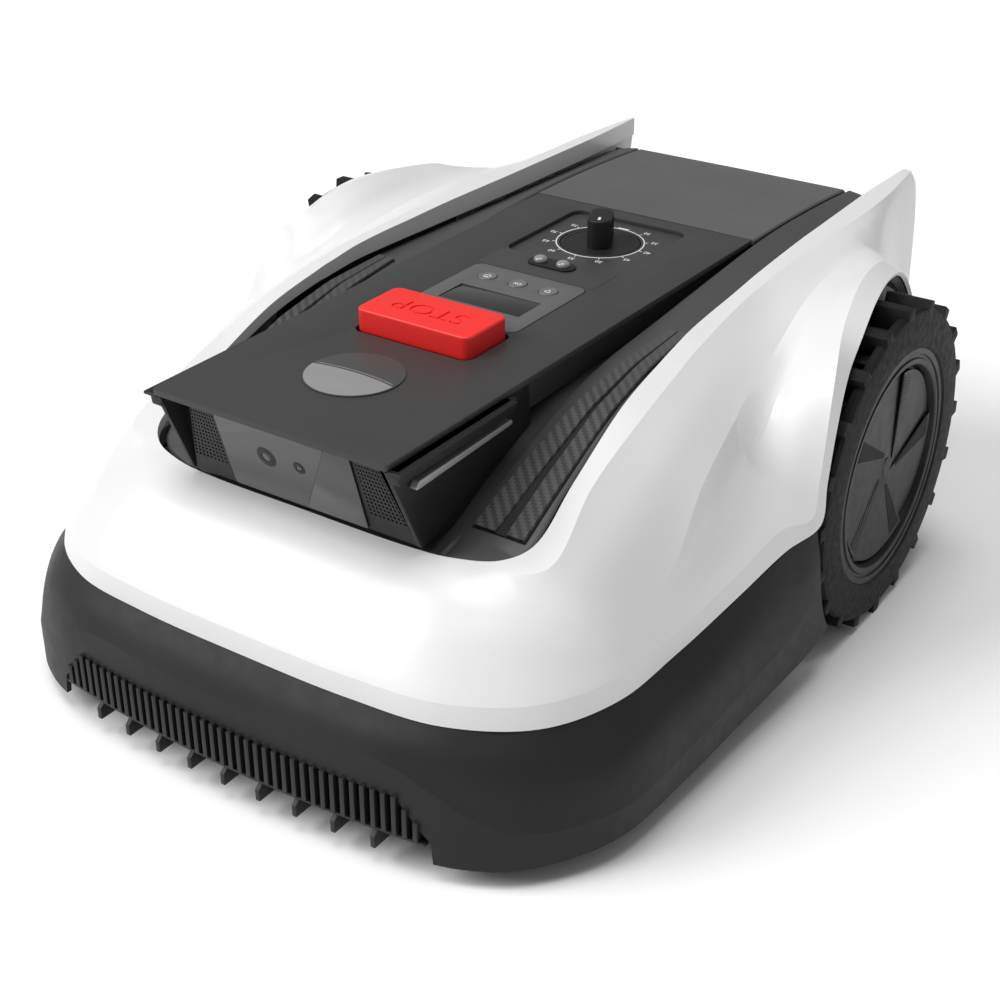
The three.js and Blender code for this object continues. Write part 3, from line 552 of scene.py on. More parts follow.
def curve_through(points, cuts, sharpness=None):
    """Points on a smooth curve through the points, cuts[k] steps in each span. Where sharpness is 1
    the curve turns a corner, and where it is 0 it is smooth."""
    gaps, slopes = tangents(points)
    line = []
    for k, steps in enumerate(cuts):
        chord = points[k + 1] - points[k]
        leave, arrive = slopes[k] * gaps[k], slopes[k + 1] * gaps[k]
        if sharpness:
            leave = leave.lerp(chord, sharpness[k])
            arrive = arrive.lerp(chord, sharpness[k + 1])
        for step in range(steps):
            t = step / steps
            line.append(points[k] * (2 * t ** 3 - 3 * t ** 2 + 1) + leave * (t ** 3 - 2 * t ** 2 + t)
                        + points[k + 1] * (3 * t ** 2 - 2 * t ** 3) + arrive * (t ** 3 - t ** 2))
    line.append(points[-1])
    return line


def mirrored_stations(stations):
    """The stations of the +X side, with the same ones on the -X side in front of them."""
    whole = [[Vector(point) for point in line] for line in stations]
    return [[Vector((-p.x, p.y, p.z)) for p in line] for line in reversed(whole[1:])] + whole


def lofted(stations, steps, cuts, sharpness):
    """A fine grid over both sides. sharpness(place) gives a corner strength for every row, where place
    is how many stations back from the middle of the front it is."""
    whole = mirrored_stations(stations)
    spans = len(whole) - 1
    rows = [curve_through([line[r] for line in whole], [steps] * spans) for r in range(len(stations[0]))]
    grid = []
    for k in range(spans * steps + 1):
        place = abs(k / steps - spans / 2)
        grid.append(curve_through([row[k] for row in rows], cuts, sharpness(place)))
    return grid


def shell_corners(place):
    """The crest runs only along the flank, and the crease starts at the front corner."""
    weight = [0.0] * 9
    weight[LIP] = 0.7 + 0.25 * ramp(place, 7.5, 8.5) * (1 - ramp(place, 18, 19))
    weight[CREST] = ramp(place, 3.6, 4.8) * (1 - ramp(place, 12.5, 15))
    weight[CREASE] = ramp(place, 2.4, 4.2)
    weight[RIM] = 0.95
    return weight


# The stations whose lower edge runs over a drive wheel, and the centre of its arch
ARCH_STATIONS = (8, 18)
ARCH_CENTRE = (391, 102)
LINER_RADIUS = 112
# The outline, seen from behind, of the dark block that closes each rear corner of the shell
REAR_CORNER = [(86.5, 101), (122.6, 101), (122.2, 116), (121, 150), (119.6, 180), (119, 187), (86.5, 187)]


def make_shell():
    """The white moulding, whose edge steps up over the drive wheels behind a bevelled band."""
    steps = 9
    grid = lofted(SHELL_STATIONS, steps, [3, 7, 6, 6, 7, 7, 5, 3], shell_corners)
    piece("shell_moulding", sheet(grid, SHELL_WALL), WHITE, "upper_shell", sharp=9)
    corner = softened(prism(REAR_CORNER, 589, 627, "xzy"), 0.8)
    piece("shell_rear_corners", merged(corner, mirrored(corner)), CHARCOAL, "upper_shell")
    middle = (len(SHELL_STATIONS) - 1) * steps
    first, last = (middle + station * steps for station in ARCH_STATIONS)
    return [row[0] for row in grid[first:last + 1]]


def make_arch_liner(side, sign, edges):
    """The black wall inside a wheel arch: a back plate, and a strip that follows the arch's edge."""
    y, z = ARCH_CENTRE
    inner, outer, back, foot = 180, 183, 476, 37
    angles = [radians(-38 + k * 256 / 64) for k in range(65)]
    ring = [(y + LINER_RADIUS * cos(a), z + LINER_RADIUS * sin(a)) for a in angles]
    plate = prism([(min(py, back), pz) for py, pz in ring if pz > foot], inner, outer, "yzx")
    strip = []
    for edge in edges[6:]:
        inward = Vector((0, y - edge.y, z - edge.z)).normalized()
        near = edge + inward * 2.5
        deep = near + inward * 4
        strip.append([Vector((near.x - 3, near.y, near.z)), Vector((min(near.x - 6, inner + 1), *deep.yz))])
    mesh = merged(softened(plate, 0.6), sheet(strip, 1.5))
    piece(f"arch_liner_{side}", on_side(mesh, sign), BLACK, f"wheel_arch_liner_{side}")


# ---------- bumper ----------

# The lower edge, the crease, the middle of the sloping band and the upper edge under the shell
BUMPER_STATIONS = [
    [(0, 0.8, 12), (0, 5.5, 65), (0, 12, 76), (0, 21.8, 87)],
    [(60, 2.6, 12), (60, 6.6, 66.5), (60, 12.8, 76.5), (60, 22.4, 87)],
    [(105, 6.4, 12), (105.6, 10.2, 66.5), (105.8, 16.2, 77), (106, 26, 87)],
    [(134, 11.4, 12), (135.4, 14, 56), (135.6, 21.5, 74), (135.5, 33, 87)],
    [(157, 20, 12), (160, 22.6, 42), (159, 30, 69), (156, 45, 87)],
    [(178, 34, 13), (181, 36.5, 36), (179, 44, 64), (172, 57, 87)],
    [(206, 77, 15.5), (209, 79.5, 37), (206, 84, 66), (193, 97.5, 88)],
    [(213.5, 140, 18), (216.4, 141, 43), (213.5, 145, 70), (199, 150, 91)],
    [(217, 200, 22), (220.4, 201, 50), (217.5, 204, 78), (206.3, 205, 100)],
    [(220.5, 245, 26.5), (223.3, 246, 60), (221, 247, 86), (213.8, 248, 111)],
    [(222.4, 276, 30), (224.4, 276, 70), (223.8, 277, 97), (219.6, 277, 120)],
    [(222.6, 306, 36), (224.5, 306, 74), (224, 306, 97), (220.5, 306, 120)],
]
BUMPER_WALL = 3.4


# The mouth in the bumper's front: half its width at the foot, and where its slanting sides start
MOUTH_HALF, MOUTH_START = 137, 26


def front_line(x):
    """How far back the bowed front face of the bumper is at x."""
    return 0.00051 * x * x


def make_bumper():
    grid = lofted(BUMPER_STATIONS, 8, [10, 6, 6], lambda place: [0, 0.92, 0, 0])
    mouth = prism(rounded([(-MOUTH_HALF, 0), (-134.5, 25), (-113, 48), (113, 48), (134.5, 25),
                           (MOUTH_HALF, 0)], 5), -15, 40, "xzy")
    rear = prism(circle(WHEEL["y"] - 5.5, WHEEL["z"], 108, 96), 150, 260, "yzx")
    skin = carved(sheet(grid, BUMPER_WALL), mouth, rear, mirrored(rear))
    piece("bumper_moulding", skin, CHARCOAL, "bumper_skirt", sharp=10)


def make_grille():
    """A row of upright ribs in front of a dark backing strip, cut off along the mouth's outline."""
    x0, x1, *_, top = span("front_grille")
    pitch, rib, foot = 6.33, 3.1, 24.5
    strips = []
    count = int((x1 - x0) / pitch)
    for k in range(count + 1):
        x = (k - count / 2) * pitch
        roof = min(top + 1.2, MOUTH_START + (MOUTH_HALF - abs(x)) * 1.02)
        if roof < foot + 3:
            continue
        y = front_line(x) + 0.9
        strips.append(softened(prism(rectangle(x - rib / 2, x + rib / 2, y, y + 4.2), foot, roof), 0.35))
    backing = [[Vector((x, front_line(x) + 6.5, z))
                for z in (foot - 0.5, min(top, MOUTH_START + (MOUTH_HALF - 1 - abs(x))))]
               for x in range(-124, 125, 8)]
    sill = [[Vector((x, front_line(x) + y, foot)) for y in (1.6, 6.8)] for x in range(-132, 133, 6)]
    piece("grille_ribs", merged(*strips, sheet(backing, 1.2), sheet(sill, 1.4)), BLACK, "front_grille")


# ---------- deck ----------

DECK_STATIONS = [
    (89, 96, 145, 144.5), (96, 116, 147, 146), (109, 128, 151, 149), (150, 126.5, 169, 166),
    (205, 123.5, 189, 184), (250, 121.5, 198, 188), (300, 119, 201, 188),
    (400, 113.5, 202, 188), (440, 112, 202, 188), (480, 110.5, 202, 188), (520, 109.2, 202, 188),
    (556, 108, 202, 188), (590, 107.5, 202, 188),
]
# Half the width of the channel that the console lies in
CHANNEL = 88


def deck_at(y):
    """Half width and height of the deck's outer strips at y."""
    for (y0, half0, edge0, _), (y1, half1, edge1, _) in zip(DECK_STATIONS, DECK_STATIONS[1:]):
        if y <= y1:
            t = (y - y0) / (y1 - y0)
            return half0 + t * (half1 - half0), edge0 + t * (edge1 - edge0)
    return DECK_STATIONS[-1][1:3]


def cover_fall(share):
    """How far the rear cover has fallen at a share of the way along it."""
    return 5.4 * share ** 2.2


def cover_height(y):
    """Height of the console's top at y, which falls a little over the rear cover."""
    _, _, y0, y1, _, top = span("rear_deck_cover")
    return top - 0.3 - cover_fall(max(0.0, (y - y0) / (y1 - y0)))


def make_deck():
    """The deck on both sides of the console: its outer edges tuck under the shell's flange, and its
    inner edges rise towards the rear to meet the console."""
    rows = []
    for y, half, edge, centre in DECK_STATIONS:
        near = CHANNEL - 1.6 * ramp(y, 300, 480)
        rise = (cover_height(y) - edge) * ramp(y, 260, 480)
        tuck = ramp(y, 250, 300)
        side = [(half + 0.4 + 8 * tuck, edge - 1.6 - 2.4 * tuck), (half, edge - 1.2), (half - 2, edge),
                ((half + near) / 2, edge + 0.4 + rise / 2), (near + 2.4, edge + rise),
                (near + 1, edge - 0.8 + rise), (near - 1, centre + 1.2), (near - 5, centre)]
        line = side + [(-x, z) for x, z in reversed(side)]
        rows.append([Vector((x, y, z)) for x, z in line])
    columns = [curve_through([row[c] for row in rows], [5] * (len(rows) - 1)) for c in range(len(rows[0]))]
    grid = [[column[k] for column in columns] for k in range(len(columns[0]))]
    well = prism(circle(0, KNOB["y"], 8), 170, 200)
    piece("deck_moulding", carved(sheet(grid, 2.6), well), DECK, "top_deck", sharp=30)


def make_carbon_inserts():
    """Two woven strips a side, parted by a groove that closes towards the rear, over a dark bed."""
    for side, sign in SIDES:
        _, _, y0, y1, *_ = span(f"carbon_insert_{side}")
        stations = [y0 + (y1 - y0) * k / 24 for k in range(25)]
        first, second, bed = [], [], []
        for y in stations:
            half, edge = deck_at(y)
            inner, outer = CHANNEL + 4 + (y - y0) * 0.06, half - 3
            back = (y - y0) / (y1 - y0)
            near, far = 0.45 + 0.04 * back, 0.64 - 0.14 * back
            width = outer - inner
            level = edge + 2.9
            strips = ((first, inner, inner + near * width), (second, inner + far * width, outer))
            for line, a, b in strips:
                line.append([(a, y, level - 1), (a + 0.5, y, level), (b - 0.5, y, level), (b, y, level - 1)])
            bed.append([(inner - 0.5, y, level - 1.4), (outer + 0.5, y, level - 1.4)])
        first, second, bed = ([[Vector(p) for p in row] for row in rows] for rows in (first, second, bed))
        cloth, base = merged(sheet(first, 0.9), sheet(second, 0.9)), sheet(bed, 0.8)
        piece(f"carbon_strips_{side}", on_side(cloth, sign), WEAVE, f"carbon_insert_{side}", sharp=50)
        piece(f"carbon_bed_{side}", on_side(base, sign), BLACK, body="body", slot="carbon_weave")


BOARD_THICKNESS = 3.8


def make_console():
    """The console board, with its openings, and the falling cover behind it."""
    _, half_rear, front, rear, _, top = span("console_board")
    half_front, front = 80.5, front - 2
    outline = rounded([(-half_front, front), (half_front, front), (half_rear, rear), (-half_rear, rear)], 2.2)
    stop, panel, dial = span("stop_button"), span("control_panel"), span("dial_plate")
    holes = [(stop, 3.2, 6.5), (panel, 0.4, 6), (dial, 0.4, 8)]
    cutters = [prism(rectangle(b[0] - gap, b[1] + gap, b[2] - gap, b[3] + gap, radius), top - 12, top + 5)
               for b, gap, radius in holes]
    board = softened(carved(prism(outline, top - BOARD_THICKNESS, top), *cutters), 0.7, 40)
    rib_front, rib_foot = span("visor_housing")[3] - 3, 188.3
    ribs = [softened(prism(rectangle(x - 1.5, x + 1.5, rib_front, rear), rib_foot, top - 1), 0.4)
            for x in (75.5, -75.5)]
    piece("console_moulding", merged(board, *ribs), BOARD, "console_board")

    _, _, y0, y1, bottom, _ = span("rear_deck_cover")
    rows = []
    for k in range(25):
        t = k / 24
        y = y0 + t * (y1 - y0)
        level, out = top - cover_fall(t), half_rear + 1.4
        side = [(out, level - 3.5), (out, level - 1), (half_rear + 0.4, level), (0, level + 0.3)]
        line = side + [(-x, z) for x, z in reversed(side[:-1])]
        rows.append([Vector((x, y, z)) for x, z in line])
    last, radius = rows[-1], 4
    for k in range(1, 7):
        a = k / 6 * pi / 2
        back, drop = radius * sin(a), radius * (1 - cos(a))
        rows.append([Vector((p.x, y1 + back, p.z - drop)) for p in last])
    rows.append([Vector((p.x, p.y, min(p.z, bottom + 2))) for p in rows[-1]])
    piece("rear_cover_moulding", sheet(rows, 2.6), COVER, "rear_deck_cover", sharp=40)

    y0, y1 = panel[3] + 1.6, dial[2] - 1.2
    inlay = softened(prism(rectangle(dial[0], dial[1], y0, y1, 1.5), top - 1, top + 0.2), 0.15)
    piece("console_inlay", inlay, INLAY, body="body", slot="deck_plastic")


# ---------- visor ----------

# Half the width of the window in the visor's face
WINDOW_HALF = 47


def visor_face(z):
    """y of the visor's leaning face at height z."""
    _, _, front, _, bottom, top = span("visor_housing")
    return front + 16 * (top - z) / (top - bottom)


def perforated(width, height, pitch, hole, keep):
    """A plate in the XY plane with round holes sunk into it wherever keep(column, row) is true."""
    mesh = bmesh.new()
    columns, rows = int(width / pitch), int(height / pitch)
    step_x, step_y = width / columns, height / rows
    angles = [radians(angle) for angle in (225, 270, 315, 0, 45, 90, 135, 180)]
    directions = [(cos(angle), sin(angle)) for angle in angles]
    for column in range(columns):
        for row in range(rows):
            cx, cy = (column + 0.5) * step_x, (row + 0.5) * step_y
            edge = []
            for c, s in directions:
                scale = 1 / max(abs(c), abs(s))
                corner = Vector((cx + step_x / 2 * c * scale, cy + step_y / 2 * s * scale, 0))
                edge.append(mesh.verts.new(corner * MM))
            if not keep(column / columns, row / rows):
                mesh.faces.new(edge)
                continue
            rings = [edge]
            for radius, depth in ((hole, 0), (hole * 0.92, -1.4)):
                rings.append([mesh.verts.new(Vector((cx + radius * c, cy + radius * s, depth)) * MM)
                              for c, s in directions])
            for outer, inner in zip(rings, rings[1:]):
                for k in range(8):
                    n = (k + 1) % 8
                    mesh.faces.new((outer[k], outer[n], inner[n], inner[k]))
            mesh.faces.new(rings[-1])
    bmesh.ops.remove_doubles(mesh, verts=mesh.verts, dist=1e-6)
    bmesh.ops.recalc_face_normals(mesh, faces=mesh.faces)
    return mesh


def make_visor():
    """The dark housing under the front of the board, wider at its foot, with what is set in its face."""
    _, _, front, rear, bottom, top = span("visor_housing")
    half, roof = 77, span("console_board")[5] - BOARD_THICKNESS - 0.2
    face = visor_face(top) + 9
    core = prism([(face, roof), (face, top), (visor_face(bottom) + 2, bottom), (109, bottom), (150, 167),
                  (rear, 179), (rear, roof)], -half, half, "yzx")
    for vertex in core.verts:
        vertex.co.x *= 1 + 3.2 / half * (top * MM - vertex.co.z) / ((top - bottom) * MM)
    brow = prism([(front - 5, roof), (front, top - 3.4), (front + 12, top - 4), (front + 12, roof)],
                 -half - 2, half + 2, "yzx")
    wings, rails = [], []
    for sign in (1, -1):
        wing = prism([(front - 8.6, roof), (79.5, bottom + 1.6), (84, bottom + 1), (150, 176),
                      (rear - 8, roof)], half, half + 3, "yzx")
        for vertex in wing.verts:
            low = (top * MM - vertex.co.z) / ((top - bottom) * MM)
            vertex.co.x += 2.2 * MM * low
        deep = [(front - 6, 199), (front - 7.5, roof), (164, roof), (164, 200.5), (160, 199)]
        flat = [(front - 9, roof - 2), (front - 9, roof), (160, roof), (160, roof - 2)]
        rail = merged(prism(rounded(deep, 1.2), half + 1, half + 8.4, "yzx"),
                      prism(rounded(flat, 0.8), half + 1, half + 11.4, "yzx"))
        wings.append(softened(on_side(wing, sign), 0.5))
        rails.append(softened(on_side(rail, sign), 0.7))
    window_bed = prism(rectangle(-WINDOW_HALF - 0.05, WINDOW_HALF + 0.05, bottom + 1.6, top - 3.6, 1),
                       front - 6, front + 13.5, "xzy")
    x0, x1, y0, y1, stem, _ = span("stop_button")
    stop_well = prism(rectangle(x0 - 4, x1 + 4, y0 - 3, y1 + 3, 2), stem - 6, top + 20)
    body = softened(carved(core, window_bed, stop_well), 0.5, 40)
    piece("visor_moulding", merged(body, softened(brow, 0.5), *wings, *rails), BLACK, "visor_housing")

    z0, z1 = bottom + 2, top - 4
    low, high = visor_face(z0), visor_face(z1)
    height, lean = hypot(high - low, z1 - z0), Matrix.Rotation(atan2(z1 - z0, high - low), 4, "X")
    window = turned(prism(rectangle(0, 2 * WINDOW_HALF, 0, height, 1.5), -1.4, 0),
                    placed((-WINDOW_HALF, low - 0.2, z0), lean))
    piece("window_pane", softened(window, 0.25), WINDOW, "camera_window")
    inner, outer = WINDOW_HALF + 0.15, half - 0.4
    wide_foot, narrowing = 1.06, 0.45
    for side, sign in SIDES:
        mesh = perforated(outer - inner, height, 2.75, 0.88, lambda u, v: 0.05 < u < 0.93 and 0.18 < v < 0.95)
        for vertex in mesh.verts:
            vertex.co.x *= wide_foot - narrowing * vertex.co.y / (height * MM)
        plate = turned(mesh, Matrix.Translation(at(inner, low + 1.0, z0)) @ lean)
        piece(f"speaker_plate_{side}", on_side(plate, sign), BLACK, f"speaker_grille_{side}", sharp=40)
        _, _, y0, y1, *_ = span(f"side_trim_{side}")
        outline = rounded([(y0 - 3, 190.2), (y0 + 1, 195), (y1, 195.6), (y1, 192.6)], 1.3)
        strip = softened(prism(outline, half + 3.4, half + 8.2, "yzx"), 0.9, segments=3)
        piece(f"trim_strip_{side}", on_side(strip, sign), SILVER, f"side_trim_{side}")

    make_lenses(z0, z1)


def make_lenses(z0, z1):
    """The lighter printed part of the window, with the camera and the small sensor set in it."""
    slope = (visor_face(z1) - visor_face(z0)) / (z1 - z0)
    lean = atan2(-slope, 1)
    outline = [(-46.4, z0 + 0.6), (5, z0 + 0.6), (30, z1 - 0.6), (-46.4, z1 - 0.6)]
    printed = prism(rounded(outline, 0.8), 0, 0.3, "xzy")
    for vertex in printed.verts:
        vertex.co.y += (visor_face(vertex.co.z / MM) - 0.45) * MM
    piece("window_print", printed, MASK, body="body", slot="window_plastic")
    for node, x, r in (("camera_lens", -15, 5.4), ("light_sensor", 8, 3.4)):
        bezel = revolve([(r * 0.5, 0.1), (r * 0.56, 0.5), (r * 0.95, 0.5), (r * 1.25, 0.15), (r * 1.25, -1.2),
                         (r * 0.5, -1.2)], (0, -FRONT / MM, 0), segments=48)
        glass = revolve([(0.01, -1), (r * 0.52, -1), (r * 0.52, 0.1), (r * 0.4, 0.4), (r * 0.2, 0.6),
                         (0.01, 0.65)], (0, -FRONT / MM, 0), segments=48)
        height = sum(span(node)[4:]) / 2
        aim = (Matrix.Translation(at(x, visor_face(height) - 0.3, height)) @ Matrix.Rotation(lean, 4, "X")
               @ Matrix.Rotation(-pi / 2, 4, "Z"))
        piece(f"{node}_bezel", turned(bezel, aim), BLACK, node)
        piece(f"{node}_glass", turned(glass, aim), LENS, body="body", slot="lens_glass")


# ---------- controls ----------

def make_stop_button():
    x0, x1, y0, y1, stem, top = span("stop_button")
    foot = top - 15
    cap = softened(prism(rectangle(x0 - 1.8, x1 + 1.8, y0 - 0.6, y1 + 0.6, 5.5), foot, top), 1.7, 40, 5)
    letters = lettering("STOP", 19, 1.4, ((x0 + x1) / 2, (y0 + y1) / 2, top), 180)
    for vertex in letters.verts:
        vertex.co.x *= 1.12
    shaft = prism(circle(0, (y0 + y1) / 2, 8), stem, foot + 1)
    piece("stop_cap", merged(carved(cap, letters), shaft), RED, "stop_button", sharp=28)


def round_span(node):
    """The middle x and y of an upright round node, its radius, and its lowest and highest z."""
    x0, x1, y0, y1, z0, z1 = span(node)
    return (x0 + x1) / 2, (y0 + y1) / 2, (x1 - x0) / 2, z0, z1


def stroke(a, b, width, z, height):
    """A straight printed line from a to b."""
    a, b = Vector(a), Vector(b)
    across = (b - a).normalized().orthogonal() * width / 2
    return prism([tuple(a + across), tuple(b + across), tuple(b - across), tuple(a - across)], z, z + height)


def make_panel():
    refine("control_panel", PANEL, 0.6)
    refine("display_window", DISPLAY, 0.4)
    for node in ("home_button", "ok_button", "start_button"):
        x, y, r, z0, z1 = round_span(node)
        dish = revolve([(0.01, z0), (r, z0), (r, z1 - 0.5), (r - 0.5, z1), (r - 1.2, z1 - 0.1),
                        (r * 0.5, z1 - 0.45), (0.01, z1 - 0.55)], (x, y, 0), "z", 48)
        piece(f"{node}_cap", dish, BUTTON, node, sharp=50)
        z, thick = z1 - 0.45, 0.3
        if node == "ok_button":
            mark = lettering("OK", 4.2, thick, (x, y, z), 180)
        elif node == "start_button":
            tips = [(x - 2.1, y - 1.6), (x + 2.1, y - 1.6), (x, y + 2.1)]
            mark = merged(*(stroke(tips[k - 1], tips[k], 0.5, z, thick) for k in range(3)))
        else:
            walls = [(x - 1.9, y + 0.6), (x - 1.9, y - 2), (x + 1.9, y - 2), (x + 1.9, y + 0.6)]
            roof = [(x - 2.5, y + 0.3), (x, y + 2.4), (x + 2.5, y + 0.3)]
            lines = [pair for line in (walls, roof) for pair in zip(line, line[1:])]
            mark = merged(*(stroke(p, q, 0.5, z, thick) for p, q in lines),
                          stroke((x, y - 1.8), (x, y - 0.4), 0.9, z, thick))
        piece(f"{node}_mark", mark, PRINT, body=BODY_OF[node], slot=SLOT_OF[node])

    refine("led_bezel", BLACK, 0.5)
    for side, _ in SIDES:
        x, y, r, z0, z1 = round_span(f"status_led_{side}")
        height, foot = z1 - z0, 0.8
        angles = [k * pi / 20 for k in range(10)]
        dome = [(r * cos(a), foot + (height - foot) * sin(a)) for a in angles]
        bulb = revolve([(0.01, 0), (r, 0), *dome, (0.01, height)], (x, y, z0), "z", 40)
        piece(f"led_dome_{side}", bulb, LED, f"status_led_{side}", sharp=60)


def make_dial():
    """The recessed scale, its printing, and the grip on its flush disc."""
    refine("dial_plate", INLAY, 0.5)
    y, top, disc = KNOB["y"], KNOB["top"], KNOB["disc"]
    level, thick = top - 0.1, 0.25
    inner, outer = disc + 2.4, disc + 2.4 + 0.8
    printed = [revolve([(inner, 0), (outer, 0), (outer, thick), (inner, thick)], (0, y, level), "z")]
    for k in range(10):  # cutting heights from 75 mm down to 30 mm
        angle = radians(-120 + 30 * k)
        out = Vector((sin(angle), -cos(angle)))
        a, b = out * (disc + 3), out * (disc + 5.4)
        printed.append(stroke((a.x, y + a.y), (b.x, y + b.y), 0.6, level, thick))
        spot = out * (disc + 9.6)
        printed.append(lettering(str(75 - 5 * k), 5.0, thick, (spot.x, y + spot.y, top), 180))
    stop = y + disc + 4
    printed.append(stroke((-4.2, stop), (4.2, stop), 1.1, level, thick))
    piece("dial_print", merged(*printed), PRINT, body="body", slot="black_plastic")

    plate = revolve([(0.01, top - 3), (disc, top - 3), (disc, top - 0.4), (disc - 0.6, top), (disc - 3, top),
                     (disc - 3.4, top - 0.3), (0.01, top - 0.3)], (0, y, 0), "z", 96)
    grip_top = span("height_knob")[5]
    grip = softened(prism(rectangle(-7.8, 7.8, -14, 14, 7), top - 1, grip_top), 1.3, 40, 4)
    ribs = [prism(rectangle(sign * 7.7, sign * 8.05, v - 0.45, v + 0.45), top + 2, grip_top - 3)
            for sign in (1, -1) for v in range(-6, 7, 2)]
    place = placed((0, y, 0), Matrix.Rotation(radians(24), 4, "Z"))
    index = prism(rectangle(-0.9, 0.9, -10.4, -5, 0.6), grip_top - 0.1, grip_top + 0.12)
    knob = merged(plate, turned(merged(grip, *ribs), place))
    piece("knob_grip", knob, BLACK, "height_knob", sharp=35)
    piece("knob_index", turned(index, place), PRINT, body=BODY_OF["height_knob"], slot="black_plastic")


def make_emblem():
    """A thin plain disc whose front half is silver, parted by a shallow curved line."""
    x, y, r, z0, z1 = round_span("emblem_disc")
    base = revolve([(0.01, z0), (r, z0), (r, z1 - 0.25), (r - 0.4, z1 - 0.1), (0.01, z1 - 0.1)], (x, y, 0),
                   "z", 96)
    piece("emblem_base", base, DECK, "emblem_disc")
    inset = r - 0.5
    angles = [radians(184 + k * 172 / 40) for k in range(41)]
    rim = [(x + inset * cos(a), y + inset * sin(a)) for a in angles]
    bow = [(x + inset * u, y - 2 + 3.4 * (1 - u * u)) for u in (0.94 - k * 1.88 / 20 for k in range(21))]
    silver = prism(rim + bow, z1 - 0.2, z1 + 0.05)
    line = [Vector((px, py + 2.0)) for px, py in bow]
    thread = merged(*(stroke(p, q, 0.5, z1 - 0.2, 0.25) for p, q in zip(line, line[1:])))
    piece("emblem_silver", merged(silver, thread), SILVER, body="body", slot="trim_silver")


# ---------- wheels ----------

def make_wheel(side, sign):
    """Lugged tyre, rim and the hub cover with its five overlapping blades, made on the +X side."""
    y, z, inner, outer = WHEEL["y"], WHEEL["z"], WHEEL["inner"], WHEEL["outer"]
    tread, top, edge = WHEEL["tread"], WHEEL["radius"], WHEEL["rim"]
    centre = (0, y, z)

    carcass = revolve([(edge, inner), (edge, outer - 1), (edge + 1.5, outer), (top - 9, outer),
                       (top - 6, outer - 0.8), (top - 4.6, outer - 3), (top - 5.4, outer - 7),
                       (tread, outer - 9), (tread, inner + 3), (tread - 2, inner)], centre)
    lugs = []
    foot, shoulder, low = tread - 3, tread + 4, tread + 3.6
    for k in range(WHEEL["lugs"]):
        block = prism([(-6.2, foot), (6.2, foot), (5.2, shoulder), (4.1, top), (-4.1, top), (-5.2, shoulder)],
                      inner + 0.5, outer - 0.4, "yzx")
        bar = prism([(-2.4, foot), (2.4, foot), (1.6, low), (-1.6, low)], inner + 0.8, outer - 9, "yzx")
        for mesh, offset in ((softened(block, 0.7, segments=2), 0.0), (softened(bar, 0.4, segments=1), 0.5)):
            turn = Matrix.Rotation((k + offset) * 2 * pi / WHEEL["lugs"], 4, "X")
            lugs.append(turned(mesh, placed(centre, turn)))
    tyre = on_side(merged(carcass, *lugs), sign)
    piece(f"tyre_moulding_{side}", tyre, RUBBER, f"tyre_{side}", sharp=30)

    rim = revolve([(8.3, inner + 4), (8.3, outer - 8), (64, outer - 8), (64.6, outer - 5), (66.5, outer - 1.6),
                   (68, outer - 1), (70, outer - 1), (70.6, outer - 2), (72.4, outer - 2), (73, outer - 1),
                   (edge - 0.3, outer - 1), (edge - 0.3, inner + 1), (edge - 4, inner + 1),
                   (edge - 4, inner + 14), (24, inner + 14), (20, inner + 4)], centre)
    piece(f"rim_moulding_{side}", on_side(rim, sign), WHEEL_BLACK, f"rim_{side}", sharp=30)
    cover = on_side(hub_cover(y, z, outer), sign)
    piece(f"hub_blades_{side}", cover, WHEEL_BLACK, f"hub_cover_{side}", sharp=18)
    refine(f"drive_axle_{side}", STEEL, 0.4)


def hub_cover(y, z, outer, blades=5, hub=6.0, reach=62.5):
    """Five flat blades between straight lines that pass beside the hub, each rising to a step over the
    next one, with fine ribs along the raised side."""
    back, low, high = outer - 7.4, outer - 5.2, outer - 3.0
    run = sqrt(reach ** 2 - hub ** 2)

    def on_blade(k, u, s, lift=0.0):
        """A point of blade k, a share u of the way across it and s of the way out."""
        angle, radius = 2 * pi * (k + u) / blades, hypot(hub, run * s)
        turn = angle + atan2(run * s, hub)
        x = low + (high - low) * u * (0.3 + 0.7 * s) + lift
        return Vector((x, y + radius * cos(turn), z + radius * sin(turn)))

    disc = [(0.01, back), (reach, back), (reach, low - 0.6), (0.01, low - 0.6)]
    button = [(0.01, low - 1), (hub + 0.6, low - 1), (hub + 0.2, low + 0.7), (0.01, low + 0.9)]
    parts = [revolve(profile, (0, y, z)) for profile in (disc, button)]
    for k in range(blades):
        parts.append(sheet([[on_blade(k, i / 12, j / 8) for j in range(9)] for i in range(13)], 1.0))
        for rib in range(24):
            s = 0.2 + 0.77 * rib / 24
            ridge = [[on_blade(k, u, s + wide, 0.3) for wide in (0, 0.014)] for u in (0.8, 0.87, 0.93, 0.98)]
            parts.append(sheet(ridge, 0.4))
    return merged(*parts)


# ---------- underside ----------

def make_underside():
    """The pieces whose CAD shape is right, on the underside, inside and at the back."""
    refine("chassis_tray", BLACK, 1.0)
    refine("front_comb", BLACK, 0.35)
    refine("rear_panel", CHARCOAL, 0.6)
    refine("battery_cover", BLACK, 0.8)
    refine("battery_pack", BATTERY, 2.0)
    refine("main_board", BOARD_GREEN, 0.2)
    refine("cutter_housing", BLACK, 0.8)
    refine("blade_disc", WHEEL_BLACK, 0.5)
    refine("height_spindle", STEEL, 0.4)
    for k in (1, 2, 3):
        refine(f"blade_{k}", STEEL, 0.25)
    for side, _ in SIDES:
        refine(f"drive_gearmotor_{side}", MOTOR, 0.8)
        refine(f"charging_contact_{side}", STEEL, 0.3)
        refine(f"caster_fork_{side}", CHARCOAL, 0.8)
        refine(f"caster_wheel_{side}", RUBBER, 1.0)
        refine(f"caster_axle_{side}", STEEL, 0.4)


# ---------- setting ----------

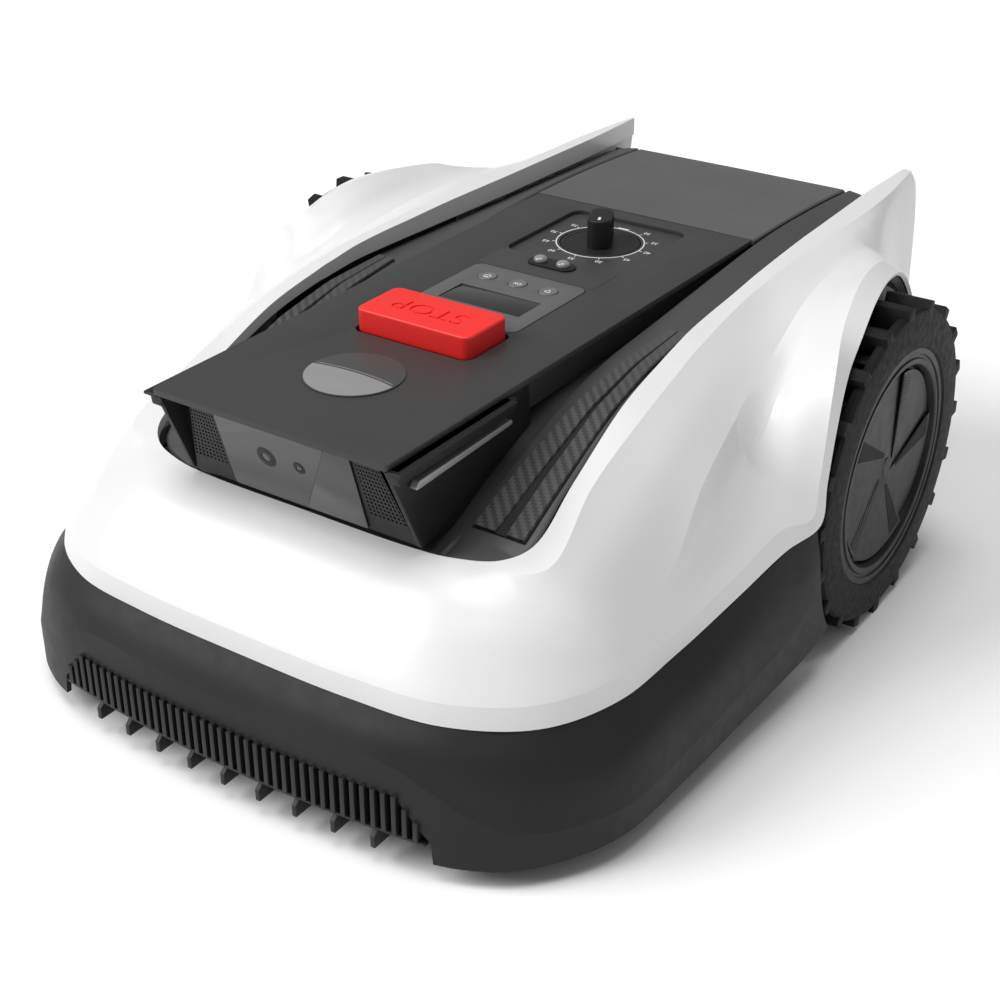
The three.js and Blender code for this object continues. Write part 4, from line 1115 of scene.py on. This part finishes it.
def make_setting():
    floor_mesh = prism(rectangle(-4000, 4000, -4000, 4000, 400), -30, 0)
    floor = add_object("floor", data_of(floor_mesh, "floor"))
    paper = plastic("floor_paper", 0.93, 0.85, grain=3.0, depth=0.02, strength=0.1, mottle=0.003)
    floor.data.materials.append(paper)

    world = bpy.data.worlds.new("studio")
    world.use_nodes = True
    background = world.node_tree.nodes["Background"]
    background.inputs["Color"].default_value = rgb(1.0)
    background.inputs["Strength"].default_value = 0.3
    bpy.context.scene.world = world

    def soft_sun(name, azimuth, elevation, strength, spread):
        """An even light from azimuth degrees left of the front, as wide across as spread degrees."""
        light = bpy.data.lights.new(name, "SUN")
        light.energy, light.angle = strength, radians(spread)
        lamp = add_object(name, light)
        lamp.rotation_euler = (radians(90 - elevation), 0, radians(-azimuth))

    soft_sun("key", 47, 40, 2.15, 38)
    soft_sun("top", 0, 84, 1.45, 30)

    scene = bpy.context.scene
    scene.view_settings.view_transform = "Standard"
    camera = bpy.data.cameras.new("camera")
    camera.sensor_width, camera.lens = 36, 61.57
    camera.clip_end = 30
    eye = add_object("camera", camera)
    eye.location = (0.5520, -0.8522, 0.6092)
    azimuth, elevation = radians(34.38), radians(29.0)
    eye.rotation_euler = (pi / 2 - elevation, 0, azimuth)
    scene.camera = eye


# ---------- assembly ----------

def wheel_sizes():
    """The drive wheel's main sizes, from its CAD tyre and rim."""
    inner, outer, y0, y1, z0, _ = span("tyre_left")
    rim = span("rim_left")
    radius = (y1 - y0) / 2
    return {"y": (y0 + y1) / 2, "z": z0 + radius, "radius": radius, "inner": inner, "outer": outer,
            "tread": radius - 13.5, "rim": (rim[3] - rim[2]) / 2 + 0.3, "lugs": 20}


def knob_sizes():
    """Where the height knob is, how high its disc lies, and the disc's radius."""
    x0, x1, y0, y1, *_ = span("height_knob")
    return {"y": (y0 + y1) / 2, "top": span("dial_plate")[5], "disc": (x1 - x0) / 2}


WHEEL = wheel_sizes()
KNOB = knob_sizes()

arch_edges = make_shell()
for side, sign in SIDES:
    make_arch_liner(side, sign, arch_edges)
    make_wheel(side, sign)
make_bumper()
make_grille()
make_deck()
make_carbon_inserts()
make_console()
make_visor()
make_stop_button()
make_panel()
make_dial()
make_emblem()
make_underside()
make_setting()
